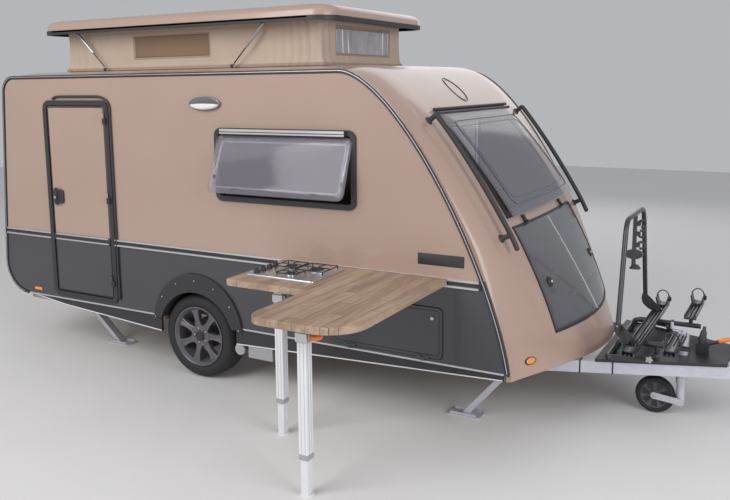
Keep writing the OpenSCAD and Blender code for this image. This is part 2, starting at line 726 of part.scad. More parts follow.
// The dark edge with the ceiling inside it and the struts' upper lugs
module lid_trim() placed() color([0.12, 0.12, 0.13]) {
    translate([0, 0, ceiling_z]) linear_extrude(ceiling_t) lid_shape(-6);
    translate([0, 0, lid_z]) linear_extrude(ceiling_z - lid_z + weld) difference() {
        lid_shape(-6);
        lid_shape(24);
    }
    for (s = mirrored, x = [strut_rear[0], strut_front[0]])
        block([x - 9, s > 0 ? strut_y + 13 : -strut_y - 18, strut_lid_z - 4], [x + 9, s > 0 ? strut_y + 18 : -strut_y - 13, ceiling_z + weld]);
}

// Gas struts as pairs: the tube turns on the lid's pin, and the rod slides in it
module strut_tubes(place) {
    top = [place[0], 0, strut_lid_z];
    eye = [place[1], 0, strut_roof_z];
    u = (eye - top) / norm(eye - top);
    for (s = mirrored) translate([0, s * strut_y, 0]) {
        difference() {
            bar(top, top + 212 * u, strut_tube_d);
            bar(top + 12 * u, top + 220 * u, strut_bore_d);
        }
        translate(top) rotate([90, 0, 0]) cylinder(d = 8, h = 26 - seat, center = true);
    }
}
module strut_rods(place) {
    top = [place[0], 0, strut_lid_z];
    eye = [place[1], 0, strut_roof_z];
    u = (eye - top) / norm(eye - top);
    for (s = mirrored) translate([0, s * strut_y, 0]) {
        bar(top + 150 * u, eye, strut_rod_d);
        translate(eye) sphere(d = 15);
    }
}
module strut_tubes_front() placed() color([0.75, 0.75, 0.77]) strut_tubes(strut_front);
module strut_tubes_rear() placed() color([0.75, 0.75, 0.77]) strut_tubes(strut_rear);
module strut_rods_front() placed() color([0.2, 0.2, 0.22]) strut_rods(strut_front);
module strut_rods_rear() placed() color([0.2, 0.2, 0.22]) strut_rods(strut_rear);
// The rods' lugs, standing on the flat middle of the roof
module strut_lugs() placed() color([0.2, 0.2, 0.22]) for (s = mirrored, x = [strut_rear[1], strut_front[1]])
    block([x - 12, s > 0 ? strut_y + 7.8 : -strut_y - 13, roof_top], [x + 12, s > 0 ? strut_y + 13 : -strut_y - 7.8, strut_roof_z + 7]);

bench_z = 830;
module furniture() placed() color([0.75, 0.7, 0.62]) {
    // Bench across the rear, kitchen unit on the left and seats in the front
    block([-1780, -wall_in + 1, sill_z + 240], [-1400, wall_in - 1, bench_z]);
    block([low_c_x + 1, -wall_in + 1, sill_z], [-1400, wall_in - 1, sill_z + 241]);
    block([420, 560, sill_z], [1180, wall_in - 5, 1180]);
    block([420, -wall_in + 5, sill_z], [1500, -560, bench_z]);
    block([1200, 560, sill_z], [1500, wall_in - 5, bench_z]);
}
module cushions() placed() color([0.6, 0.58, 0.55]) {
    translate([-1770, -wall_in + 8, bench_z + seat]) linear_extrude(110) round_rect(368, 2 * wall_in - 16, 30);
    translate([424, -wall_in + 8, bench_z + seat]) linear_extrude(110) round_rect(1072, wall_in - 574, 30);
    translate([1204, 566, bench_z + seat]) linear_extrude(110) round_rect(290, wall_in - 576, 30);
}

// A wheel's own frame: its axis is z, its inner face at 0 and its outer face at tyre_w
module at_wheel(side) translate([0, side * (tyre_face_y - tyre_w), wheel_z]) rotate([side > 0 ? -90 : 90, 0, 0]) children();
bead_r = 191;
flange_t = 7;
module rim(side) at_wheel(side) {
    hub = hub_y + seat - (tyre_face_y - tyre_w);
    face = tyre_w - 22;
    rotate_extrude($fn = 96) polygon([
        [rim_d / 2, flange_t + 5], [rim_d / 2, 5], [rim_d / 2 - 8, 5], [178, 20], [168, 60], [172, 110],
        [180, tyre_w - 24], [rim_d / 2 - 10, tyre_w - 5], [rim_d / 2, tyre_w - 5], [rim_d / 2, tyre_w - 5 - flange_t],
        [bead_r, tyre_w - 16], [bead_r - 2, tyre_w - 50], [180, 110], [176, 60], [bead_r - 1, 40], [bead_r, 16]
    ]);
    difference() {
        union() {
            translate([0, 0, hub]) cylinder(r = 74, h = face - hub - 6);
            for (i = [0:spokes - 1]) rotate(i * 360 / spokes) translate([0, 0, face - 38])
                linear_extrude(29) polygon([[67, -23], [110, -17], [182, -27], [182, 27], [110, 17], [67, 23]]);
        }
        translate([0, 0, hub - 1]) cylinder(d = spindle_d + 0.12, h = 28);
        for (i = [0:4]) rotate(i * 72 + 36) translate([50, 0, face - 36]) cylinder(d = 26, h = 60);
    }
    translate([0, 0, face - 7]) cylinder(d = 64, h = 14);
}
module tyre(side) at_wheel(side) rotate_extrude($fn = 96) difference() {
    translate([bead_r + seat, 0]) round_rect(tyre_d / 2 - bead_r - seat, tyre_w, 34);
    square([rim_d / 2 + 1.5, flange_t + 8]);
    translate([0, tyre_w - flange_t - 8]) square([rim_d / 2 + 1.5, 20]);
}
module rim_right() placed() color([0.25, 0.25, 0.27]) rim(-1);
module rim_left() placed() color([0.25, 0.25, 0.27]) rim(1);
module tyre_right() placed() color([0.07, 0.07, 0.07]) tyre(-1);
module tyre_left() placed() color([0.07, 0.07, 0.07]) tyre(1);

// A channel along x, open towards the middle, with its outer face at y = 0
module channel(len) difference() {
    translate([0, -beam_w, beam_top_z - beam_h]) cube([len, beam_w, beam_h]);
    translate([-1, -beam_w - 1, beam_top_z - beam_h + steel_t]) cube([len + 2, beam_w + 1 - steel_t, beam_h - 2 * steel_t]);
}
module chassis() placed() color([0.72, 0.73, 0.75]) {
    turn = atan2(beam_y - beam_end_w / 2, beam_end_x - beam_bend_x);
    run = norm([beam_y - beam_end_w / 2, beam_end_x - beam_bend_x]);
    for (s = mirrored) mirror([0, s < 0 ? 1 : 0, 0]) {
        translate([-1560, beam_y, 0]) channel(1560 + beam_bend_x);
        translate([beam_bend_x - 8, beam_y + 8 * tan(turn), 0]) rotate([0, 0, -turn]) channel(run);
        for (st = [steady_front, steady_rear]) steady_bracket(st);
    }
    // Cross members at the rear, in front of the axle and under the nose
    for (x = [-1540, 700, 1990]) block([x, -beam_y + steel_t, beam_top_z - 60], [x + 50, beam_y - steel_t, beam_top_z - 8]);
    // Axle's hangers
    for (s = mirrored) block([axle_x - 50, s > 0 ? 556 : -596, axle_tube_z + 39.84 + seat], [axle_x + 50, s > 0 ? 596 : -556, beam_top_z - beam_h + weld]);
}
// Cross plate between the beams' webs, with the sleeve that holds the jockey wheel's tube
module jockey_clamp() placed() color([0.72, 0.73, 0.75]) difference() {
    union() {
        translate([0, 0, beam_top_z - 46]) linear_extrude(12) polygon([for (q = [[-1, -1], [1, -1], [1, 1], [-1, 1]])
            let (x = jockey_x + q[0] * 50) [x, q[1] * (beam_out(x) - web_in)]]);
        translate([jockey_x, jockey_y, beam_top_z - 90]) cylinder(d = jockey_d + 24, h = 88);
    }
    translate([jockey_x, jockey_y, beam_top_z - 120]) cylinder(d = jockey_d + 0.16, h = 150);
}
beam_turn = atan2(beam_y - beam_end_w / 2, beam_end_x - beam_bend_x);
web_in = (steel_t + seat) / cos(beam_turn);

// Two lugs and a pin for a steady's leg, carried from the beam. place is [x, foot's x, y].
module steady_bracket(place) {
    x = place[0];
    y = place[2];
    block([x - 34, beam_y - 10, beam_top_z - 7], [x + 34, y + steady_w / 2 + 12, beam_top_z - seat]);
    for (dy = [-steady_w / 2 - 8, steady_w / 2 + 2])
        block([x - 20, y + dy, steady_pivot_z - 20], [x + 20, y + dy + 6, beam_top_z - 1]);
    translate([x, y + steady_w / 2 + 6, steady_pivot_z]) rotate([90, 0, 0]) cylinder(d = steady_pin_d, h = steady_w + 12);
}

// Axle tube with a trailing arm, drum and spindle at each end
module axle() placed() color([0.6, 0.61, 0.63]) {
    translate([axle_x, 735, axle_tube_z]) rotate([90, 0, 0]) cylinder(d = axle_d, h = 1470, $fn = 6);
    for (s = mirrored) mirror([0, s < 0 ? 1 : 0, 0]) {
        across(690, 742) {
            d = [-axle_x, wheel_z - axle_tube_z];
            translate([axle_x, axle_tube_z]) circle(48);
            translate([axle_x, axle_tube_z]) rotate(atan2(d[1], d[0])) translate([0, -36]) square([norm(d), 72]);
            translate([0, wheel_z]) circle(44);
        }
        across(741, 763) translate([0, wheel_z]) circle(44);
        across(762, hub_y) translate([0, wheel_z]) circle(112);
        across(hub_y - weld, hub_y + 22) translate([0, wheel_z]) circle(d = spindle_d);
    }
}

// Manoeuvring motors with their rollers, one ahead of each tyre
module movers() placed() color([0.6, 0.6, 0.62]) for (s = mirrored) mirror([0, s < 0 ? 1 : 0, 0]) {
    out = tyre_face_y;
    translate([349, out - 5, 254]) rotate([90, 0, 0]) cylinder(d = 76, h = 150);
    block([345, out - 190, 236], [420, out - 154, 272]);
    block([400, out - 210, 200], [590, out - 30, 290]);
    block([440, beam_y + seat, 296], [500, out - 170, 336]);
    block([450, out - 200, 280], [490, out - 171, 300]);
}

module coupling() placed() color([0.55, 0.56, 0.58]) difference() {
    union() {
        translate([0, 0, beam_top_z + seat]) linear_extrude(10) polygon([
            [3190, -beam_out(3190) + 8], [beam_end_x, -beam_out(beam_end_x) + 4],
            [beam_end_x, beam_out(beam_end_x) - 4], [3190, beam_out(3190) - 8]]);
        block([3200, -62, beam_top_z + 5], [3420, 62, beam_top_z + 104]);
        bar([3410, 0, 418], [3512, 0, 424], 78);
        bar([3500, 0, 424], [3560, 0, 432], 56);
        translate([ball_x, 0, ball_z - 18]) cylinder(d = 84, h = 62);
        block([3545, -34, ball_z - 12], [ball_x, 34, ball_z + 40]);
        bar([ball_x - 10, 0, ball_z + 40], [ball_x - 150, 0, ball_z + 92], 24);
    }
    translate([ball_x, 0, ball_z]) sphere(d = 51);
    translate([ball_x, 0, ball_z - 60]) cylinder(d = 51, h = 60);
}
module drawbar_cover() placed() color([0.15, 0.15, 0.16]) translate([0, 0, beam_top_z + seat]) linear_extrude(cover_t) difference() {
    polygon([
        [cover_start, -beam_out(cover_start) - 14], [cover_end, -beam_out(cover_end) - 14],
        [cover_end, beam_out(cover_end) + 14], [cover_start, beam_out(cover_start) + 14]]);
    translate([jockey_x, jockey_y]) circle(d = jockey_d + 12);
}
module handbrake() placed() color([0.5, 0.5, 0.52]) {
    z = beam_top_z + cover_t + 2 * seat;
    block([2970, -76, z], [3040, -44, z + 62]);
    bar([3005, -60, z + 50], [3145, -60, z + 108], 20);
}
module jockey_tube() placed() color([0.75, 0.76, 0.78]) {
    translate([jockey_x, jockey_y, jockey_tube_z]) cylinder(d = jockey_d, h = 508 - jockey_tube_z);
    translate([jockey_x, jockey_y, 507]) cylinder(d = 30, h = 16);
    bar([jockey_x, jockey_y, 520], [jockey_x - 70, jockey_y, 528], 12);
    bar([jockey_x - 66, jockey_y, 524], [jockey_x - 66, jockey_y, 560], 18);
}
module jockey_fork() placed() color([0.75, 0.76, 0.78]) {
    translate([jockey_x, jockey_y, 72]) cylinder(d = 48, h = jockey_tube_z - 72 - seat);
    for (s = mirrored) {
        y0 = jockey_y + (s > 0 ? jockey_wheel_w / 2 + 4 : -jockey_wheel_w / 2 - 10);
        across(y0, y0 + 6) {
            translate([jockey_wheel_x, jockey_r]) circle(20);
            translate([jockey_x, 96]) circle(20);
            translate([jockey_x, 96]) rotate(atan2(jockey_r - 96, jockey_wheel_x - jockey_x)) translate([0, -19])
                square([norm([jockey_r - 96, jockey_wheel_x - jockey_x]), 38]);
        }
    }
    block([jockey_x - 16, jockey_y - jockey_wheel_w / 2 - 9, 74], [jockey_x + 17, jockey_y + jockey_wheel_w / 2 + 9, 109]);
    translate([jockey_wheel_x, jockey_y + jockey_wheel_w / 2 + 12, jockey_r]) rotate([90, 0, 0]) cylinder(d = 16, h = jockey_wheel_w + 24);
}
module jockey_wheel() placed() color([0.15, 0.15, 0.15])
    translate([jockey_wheel_x, jockey_y + jockey_wheel_w / 2, jockey_r]) rotate([90, 0, 0]) difference() {
        rotate_extrude($fn = 64) translate([8.06, 0]) union() {
            translate([jockey_r - 8.06 - 32, 0]) round_rect(32, jockey_wheel_w, 14);
            translate([0, 6]) square([14, jockey_wheel_w - 12]);
            translate([8, 10]) square([jockey_r - 48, jockey_wheel_w - 20]);
        }
        for (i = [0:jockey_pockets - 1], z = [4, jockey_wheel_w - 20]) rotate(i * 360 / jockey_pockets) translate([0, 0, z])
            linear_extrude(16) polygon([[34, -9], [72, -21], [72, 21], [34, 9]]);
    }
jockey_pockets = 7;

// Corner steadies: the leg hangs on its pin, with a large foot plate
module steady(place, side) {
    foot = [place[1], 0];
    pivot = [place[0], steady_pivot_z];
    d = pivot - foot;
    a = atan2(d[1], d[0]);
    translate([0, side * place[2], 0]) difference() {
        union() {
            across(-steady_w / 2, steady_w / 2) {
                translate(pivot) circle(20);
                translate(foot) intersection() {
                    rotate(a) translate([0, -17]) square([norm(d), 34]);
                    translate([-500, foot_t / 2]) square([1000, 400]);
                }
            }
            translate([place[1] - foot_l / 2, -foot_w / 2, 0]) linear_extrude(foot_t) round_rect(foot_l, foot_w, 24);
            for (dy = [-foot_w / 2 + 14, foot_w / 2 - 20])
                block([place[1] - foot_l / 2 + 24, dy, foot_t - weld], [place[1] + foot_l / 2 - 24, dy + 6, foot_t + 12]);
        }
        translate([pivot[0], 200, pivot[1]]) rotate([90, 0, 0]) cylinder(d = steady_pin_d + 0.12, h = 400);
        // The leg is an open channel
        across(-steady_w / 2 + 5, steady_w / 2 - 5) translate(foot) rotate(a) translate([70, a > 90 ? -10 : -50]) square([norm(d) - 110, 60]);
    }
}
module steady_front_right() placed() color([0.75, 0.76, 0.78]) steady(steady_front, -1);
module steady_front_left() placed() color([0.75, 0.76, 0.78]) steady(steady_front, 1);
module steady_rear_right() placed() color([0.75, 0.76, 0.78]) steady(steady_rear, -1);
module steady_rear_left() placed() color([0.75, 0.76, 0.78]) steady(steady_rear, 1);

// Upright sides that hold a cycle's wheel at one end of a tray, flaring outwards
module holder(x, y, z) along_y(y - 45, y + 45) for (s = mirrored)
    polygon([[x + s * 26, z + 6], [x + s * 34, z + 6], [x + s * 60, z + 104], [x + s * 53, z + 108]]);
module along_y(y0, y1) across(y0, y1) children();
module carrier_base() placed() color([0.17, 0.17, 0.18]) {
    z0 = beam_top_z + cover_t + 2 * seat;
    for (i = [0, 1], y = [-holder_y, holder_y]) holder(tray_x[i], y, tray_z[i]);
    zt = z0 + base_d / 2;
    // Square tubes lying on the cover, with the posts and bars that carry the trays
    for (s = mirrored) {
        block([base_x[0], s * 250 - 14, z0], [base_x[1], s * 250 + 14, z0 + base_d]);
        for (x = [base_x[0], base_x[1] - 28]) block([x, s * 250 - 12, z0 + base_d - weld], [x + 28, s * 250 + 12, tray_z[0] - 30]);
        block([base_x[0], s * 250 - 14, tray_z[0] - 32], [tray_x[1] + 60, s * 250 + 14, tray_z[0] - 2]);
        block([tray_x[0] - 12, s * 250 - 12, tray_z[0] - 4], [tray_x[0] + 12, s * 250 + 12, tray_z[0] + weld]);
    }
    for (x = base_x) block([x - 14, -251, z0], [x + 14, 251, z0 + base_d]);
    tray_channel(tray_x[0], tray_z[0], -tray_half, tray_half);
    for (s = mirrored) {
        y = s > 0 ? [186, tray_half] : [-tray_half, -186];
        tray_channel(tray_x[1], tray_z[1], y[0], y[1]);
        block([tray_x[1] - 12, s * 250 - 12, tray_z[0] - 4], [tray_x[1] + 12, s * 250 + 12, tray_z[1] + weld]);
        // Plates that carry the folding frame's pivots, from the rear tray
        mirror([0, s < 0 ? 1 : 0, 0]) {
            across(frame_half - 40, frame_half - 32) polygon([
                [frame_x - 24, frame_z + 22], [frame_x + 24, frame_z + 22], [tray_x[0] + 20, tray_z[0] + 8],
                [tray_x[0] - 30, tray_z[0] + 8], [frame_x - 24, frame_z - 50]]);
            translate([frame_x, frame_half + 16, frame_z]) rotate([90, 0, 0]) cylinder(d = 12, h = 52);
        }
    }
}
base_d = 32;
holder_y = 540;
base_x = [2560, 2800];
module tray_channel(x, z, y0, y1) difference() {
    block([x - 34, y0, z], [x + 34, y1, z + 28]);
    block([x - 28, y0 - 1, z + 6], [x + 28, y1 + 1, z + 40]);
}
module carrier_frame() placed() color([0.17, 0.17, 0.18]) {
    for (s = mirrored) {
        low = [frame_x, s * frame_half, frame_z - 14];
        top = [frame_top_x, s * (frame_top_half + 30), frame_top_z - 60];
        corner = [frame_top_x, s * (frame_top_half - 26), frame_top_z];
        difference() {
            bar(low, top + [0, 0, 5], frame_d);
            translate([frame_x, s * frame_half + 60, frame_z]) rotate([90, 0, 0]) cylinder(d = 12.12, h = 120);
        }
        bar(top, corner + [0, -s * 6, 5], frame_d);
    }
    bar([frame_top_x, -frame_top_half + 20, frame_top_z], [frame_top_x, frame_top_half - 20, frame_top_z], frame_d);
    // Arm with its clamps, hanging from the top bar
    block([frame_top_x - 12, -14, 850], [frame_top_x + 12, 14, frame_top_z - 4]);
    for (z = [1090, 1030, 960]) block([frame_top_x + 10, -30, z], [frame_top_x + 52, 30, z + 34]);
    across(-8, 8) translate([frame_top_x - 50, 890]) round_rect(100, 60, 28);
    block([frame_top_x - 16, -40, 830], [frame_top_x + 40, 40, 852]);
}

// Two boards side by side: the leaf that carries the hob and the long leaf
module table_top() placed() color([0.62, 0.5, 0.38]) translate([0, 0, table_z - table_t]) linear_extrude(table_t) {
    polygon(concat(
        [[table_x, -table_edge], [long_leaf_x - seat, -table_edge], [long_leaf_x - seat, -half_w - hob_reach]],
        arc([table_x + 24, -half_w - hob_reach + 24], 24, -90, -180)));
    polygon(concat(
        [[long_leaf_x, -table_edge], [table_end_x, -table_edge]],
        arc([table_end_x - 200, -half_w - table_reach + 200], 200, 0, -90),
        arc([long_leaf_x + 90, -half_w - table_reach + 90], 90, -90, -180)));
}
module table_legs() placed() color([0.85, 0.85, 0.86]) for (p = leg_places) translate([p[0], p[1], 0]) {
    top = table_z - table_t - seat;
    translate([-leg_side / 2, -leg_side / 2, leg_lower_z]) cube([leg_side, leg_side, top - leg_lower_z]);
    translate([-leg_side / 2 + 5, -leg_side / 2 + 5, 8]) cube([leg_side - 10, leg_side - 10, leg_lower_z - 7]);
    cylinder(d = 76, h = 9);
    translate([-62, -62, top - 6]) cube([124, 124, 6]);
    translate([-leg_side / 2 - 6, -leg_side / 2 - 6, top - 90]) cube([leg_side + 12, leg_side + 12, 40]);
}
module hob() placed() color([0.75, 0.75, 0.76]) translate([hob_x, hob_y, table_z + seat]) {
    linear_extrude(9) round_rect(hob_w, hob_d, 16);
    for (b = [[150, 250, 62], [330, 240, 78], [250, 90, 50]]) translate([b[0], b[1], 8]) {
        cylinder(r = b[2] / 2, h = 18);
        for (a = [0, 90]) rotate(a) translate([-b[2] - 14, -4, 22]) cube([2 * b[2] + 28, 8, 8]);
        for (a = [0:90:270]) rotate(a) translate([b[2] + 6, -4, 0]) cube([8, 8, 24]);
        cylinder(r = 9, h = 24);
    }
    for (i = [0:3]) translate([38, 60 + i * 62, 8]) cylinder(d = 36, h = 24);
}

chassis();
axle();
floor();
side_right_upper();
side_right_lower();
side_left_upper();
side_left_lower();
rear_panel();
rear_top();
roof_panel();
front_shell();
edge_trims();
belt_rails();
wheel_arches();
skirts();
door_frame();
door_upper();
door_lower();
window_frames();
window_panes();
front_window();
front_pane();
rear_lamps();
side_lamps();
grab_rails();
locker_lid();
locker_hinges();
front_markers();
side_hatch();
tent();
lid_shell();
lid_trim();
strut_tubes_front();
strut_tubes_rear();
strut_rods_front();
strut_rods_rear();
strut_lugs();
furniture();
cushions();
rim_right();
tyre_right();
rim_left();
tyre_left();
movers();
coupling();
drawbar_cover();
handbrake();
jockey_clamp();
jockey_tube();
jockey_fork();
jockey_wheel();
steady_front_right();
steady_front_left();
steady_rear_right();
steady_rear_left();
carrier_base();
carrier_frame();
table_top();
table_legs();
hob();
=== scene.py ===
"""A pop-top caravan standing on its steadies: looks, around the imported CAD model."""

import json
import math

import bmesh
import bpy
import numpy as np
from mathutils import Matrix, Vector


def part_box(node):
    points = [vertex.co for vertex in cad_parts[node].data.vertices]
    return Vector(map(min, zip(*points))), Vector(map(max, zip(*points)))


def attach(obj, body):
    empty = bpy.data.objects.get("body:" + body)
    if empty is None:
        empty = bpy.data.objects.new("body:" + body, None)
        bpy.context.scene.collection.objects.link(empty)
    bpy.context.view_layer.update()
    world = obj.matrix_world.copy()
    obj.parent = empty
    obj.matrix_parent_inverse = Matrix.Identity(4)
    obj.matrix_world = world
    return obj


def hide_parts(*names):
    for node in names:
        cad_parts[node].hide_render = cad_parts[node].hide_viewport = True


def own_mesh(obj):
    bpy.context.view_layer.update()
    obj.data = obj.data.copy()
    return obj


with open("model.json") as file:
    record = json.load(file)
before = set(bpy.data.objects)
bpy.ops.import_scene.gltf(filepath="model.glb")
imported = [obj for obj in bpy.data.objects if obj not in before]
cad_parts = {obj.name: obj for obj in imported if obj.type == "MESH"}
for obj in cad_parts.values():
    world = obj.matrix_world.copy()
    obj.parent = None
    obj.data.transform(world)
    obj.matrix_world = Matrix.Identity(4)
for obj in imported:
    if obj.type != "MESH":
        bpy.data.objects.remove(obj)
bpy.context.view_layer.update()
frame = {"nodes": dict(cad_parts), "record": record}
NODES = frame["nodes"]


TYRE_LOW, TYRE_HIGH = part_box("tyre_right")
# The axle's place on the ground, which the measures below start from
AXLE = Vector(((TYRE_LOW.x + TYRE_HIGH.x) / 2, 0, TYRE_LOW.z))
HALF_WIDTH = 1.020


def at(x, y, z):
    """A point in metres from the axle's place on the ground, in the frame of the part."""
    return Vector((AXLE.x + x, y, AXLE.z + z))


# Camera, light and ground

PHOTO = (730, 500)
FOCAL = 814.4946
CENTRE = (335.0216, 216.4856)


def place_camera():
    yaw, pitch, roll = (math.radians(v) for v in (30.66176, 9.248934, -0.6956616))
    ahead = Vector((-math.sin(yaw) * math.cos(pitch), math.cos(yaw) * math.cos(pitch), -math.sin(pitch)))
    side = Vector((math.cos(yaw), math.sin(yaw), 0))
    up = side.cross(ahead)
    right = math.cos(roll) * side + math.sin(roll) * up
    top = math.cos(roll) * up - math.sin(roll) * side
    data = bpy.data.cameras.new("camera")
    data.sensor_fit = "HORIZONTAL"
    data.sensor_width = 36
    data.lens = 36 * FOCAL / PHOTO[0]
    data.shift_x = (PHOTO[0] / 2 - CENTRE[0]) / PHOTO[0]
    data.shift_y = (CENTRE[1] - PHOTO[1] / 2) / PHOTO[0]
    data.clip_end = 60
    camera = bpy.data.objects.new("camera", data)
    turn = Matrix((right, top, -ahead)).transposed().to_4x4()
    camera.matrix_world = Matrix.Translation(at(3.4937705, -5.05288285, 1.95427765)) @ turn
    bpy.context.scene.collection.objects.link(camera)
    bpy.context.scene.camera = camera


place_camera()


# Shading helpers


class Value:
    """One socket of a material, with the arithmetic that the materials use."""

    def __init__(self, paint, socket):
        self.paint = paint
        self.socket = socket

    def maths(self, operation, *values):
        return self.paint.node("ShaderNodeMath", {"operation": operation}, dict(enumerate(values)))

    def __add__(self, other):
        return self.maths("ADD", self, other)

    def __radd__(self, other):
        return self.maths("ADD", other, self)

    def __sub__(self, other):
        return self.maths("SUBTRACT", self, other)

    def __rsub__(self, other):
        return self.maths("SUBTRACT", other, self)

    def __mul__(self, other):
        return self.maths("MULTIPLY", self, other)

    def __rmul__(self, other):
        return self.maths("MULTIPLY", other, self)

    def __truediv__(self, other):
        return self.maths("DIVIDE", self, other)

    def __pow__(self, other):
        return self.maths("POWER", self, other)

    def clamped(self):
        return self.paint.node("ShaderNodeClamp", {}, {0: self})

    def above(self, edge, width=0.0):
        """0 below the edge and 1 above it, with a soft step of the given width."""
        if width:
            return ((self - edge) / width + 0.5).clamped()
        return self.maths("GREATER_THAN", self, edge)


class Paint:
    """A material, with the few nodes that the finishes below are made of."""

    def __init__(self, name):
        self.material = bpy.data.materials.new(name)
        self.material.use_nodes = True
        self.tree = self.material.node_tree
        self.shader = self.tree.nodes["Principled BSDF"]
        self.place = self.node("ShaderNodeTexCoord", {}, {}, "Object")

    def node(self, kind, settings, sockets, output=0):
        made = self.tree.nodes.new(kind)
        for key, value in settings.items():
            if key == "stops":
                ramp = made.color_ramp
                while len(ramp.elements) < len(value):
                    ramp.elements.new(0.5)
                for stop, (position, colour) in zip(ramp.elements, value):
                    stop.position = position
                    stop.color = (*colour, 1)
            else:
                setattr(made, key, value)
        for key, value in sockets.items():
            self.feed(made.inputs[key], value)
        return Value(self, made.outputs[output])

    def feed(self, socket, value):
        if isinstance(value, Value):
            self.tree.links.new(value.socket, socket)
        elif isinstance(value, (tuple, list)) and socket.type == "RGBA":
            socket.default_value = (*value, 1)
        else:
            socket.default_value = value

    def set(self, **values):
        for key, value in values.items():
            self.feed(self.shader.inputs[key.replace("_", " ")], value)
        return self

    def stretched(self, scale, turn=(0, 0, 0), start=None):
        inputs = {"Vector": start or self.place, "Scale": scale, "Rotation": turn}
        return self.node("ShaderNodeMapping", {}, inputs)

    def noise(self, scale, detail=3.0, rough=0.55, where=None, output=0):
        return self.node(
            "ShaderNodeTexNoise",
            {},
            {"Vector": where or self.place, "Scale": scale, "Detail": detail, "Roughness": rough},
            output,
        )

    def mix(self, factor, first, second):
        return self.node(
            "ShaderNodeMix",
            {"data_type": "RGBA"},
            {0: factor, 6: first, 7: second},
            2,
        )

    def axis(self, name):
        return self.node("ShaderNodeSeparateXYZ", {}, {0: self.place}, name)

    def bump(self, height, distance, strength=1.0):
        return self.node("ShaderNodeBump", {}, {"Height": height, "Distance": distance, "Strength": strength})


def shade(colour, factor):
    return tuple(c * factor for c in colour)


def finish(name, colour, rough=0.5, metal=0.0, coat=0.0, grain=0.0, grain_scale=400.0, patch=0.12,
           patch_scale=2.5, coat_rough=0.08, specular=0.5, alpha=1.0):
    """A painted, moulded or metal surface: cloudy colour, uneven gloss and a fine grain."""
    paint = Paint(name)
    cloud = paint.noise(patch_scale, 4)
    fine = paint.noise(grain_scale, 2)
    mixed = paint.mix(cloud, shade(colour, 1 - patch), shade(colour, 1 + patch))
    paint.set(
        Base_Color=mixed,
        Roughness=(cloud - 0.5) * (rough * 0.4) + (fine - 0.5) * (rough * 0.2) + rough,
        Metallic=metal,
        Coat_Weight=coat,
        Coat_Roughness=coat_rough,
        Specular_IOR_Level=specular,
        Alpha=alpha,
    )
    if grain:
        paint.set(Normal=paint.bump(fine, grain))
    return paint.material


def oak_boards():
    """Oak boards laid across the table, each with its own tone, length and grain."""
    paint = Paint("oak")
    across, along = paint.axis("X") * 14.0, paint.axis("Y") * 1.9
    strip = across.maths("FLOOR", across)
    length = along + strip * 0.37
    board = length.maths("FLOOR", length)
    which = strip * 17.3 + board * 3.1
    tone = paint.node("ShaderNodeTexWhiteNoise", {"noise_dimensions": "1D"}, {"W": which})
    grain = paint.noise(9, 5, 0.6, paint.stretched((9, 0.7, 9)))
    streak = paint.noise(4, 3, 0.5, paint.stretched((5, 0.35, 5)))
    base = paint.mix(tone, (0.47, 0.325, 0.235), (0.30, 0.20, 0.14))
    aged = paint.mix(grain.above(0.52, 0.3) * 0.55, base, (0.19, 0.12, 0.08))
    pale = paint.mix(streak.above(0.56, 0.2) * 0.5, aged, (0.56, 0.42, 0.31))
    seam = (across - strip).above(0.03, 0.02) * (length - board).above(0.004, 0.002)
    paint.set(Base_Color=paint.mix(seam, (0.12, 0.08, 0.055), pale), Roughness=grain * 0.2 + 0.4)
    paint.set(Normal=paint.bump(grain * 0.3 + seam, 0.0006))
    return paint.material


def window_tape(paint, along, middle, half):
    """1 on the tape sewn round a tent window, which lies along an axis and up z."""
    gap = (along - middle[0]).maths("ABSOLUTE", along - middle[0]) - half[0]
    rise = paint.axis("Z") - middle[1]
    height = rise.maths("ABSOLUTE", rise) - half[1]
    edge = gap.maths("MAXIMUM", gap, height)
    return edge.above(-0.002) * (1.0 - edge.above(0.013, 0.002))


def tent_canvas():
    """Woven tent cloth with a sewn tape round its windows, and darker along its foot."""
    paint = Paint("tent_cloth")
    cloud = paint.noise(5, 4)
    weave = paint.noise(900, 2)
    x, y, z = (paint.axis(name) for name in "XYZ")
    flank = y.maths("ABSOLUTE", y).above(0.56)
    tape = flank * window_tape(paint, x, (AXLE.x - 0.5, AXLE.z + 2.23), (0.345, 0.072))
    front = (1.0 - flank) * x.above(AXLE.x + 0.6)
    tape = tape + front * window_tape(paint, y, (0.0, AXLE.z + 2.235), (0.385, 0.085))
    # Darker along the lowest 22 mm of the cloth
    foot_band = 1.0 - z.above(AXLE.z + 2.092, 0.004)
    colour = paint.mix(cloud, (0.47, 0.37, 0.29), (0.55, 0.44, 0.35))
    colour = paint.mix(foot_band * 0.55, colour, (0.22, 0.16, 0.12))
    colour = paint.mix(tape.clamped() * 0.7, colour, (0.30, 0.215, 0.155))
    paint.set(Base_Color=colour, Roughness=weave * 0.1 + 0.82)
    paint.set(Normal=paint.bump(weave + tape * 2.0 + cloud, 0.0006))
    return paint.material


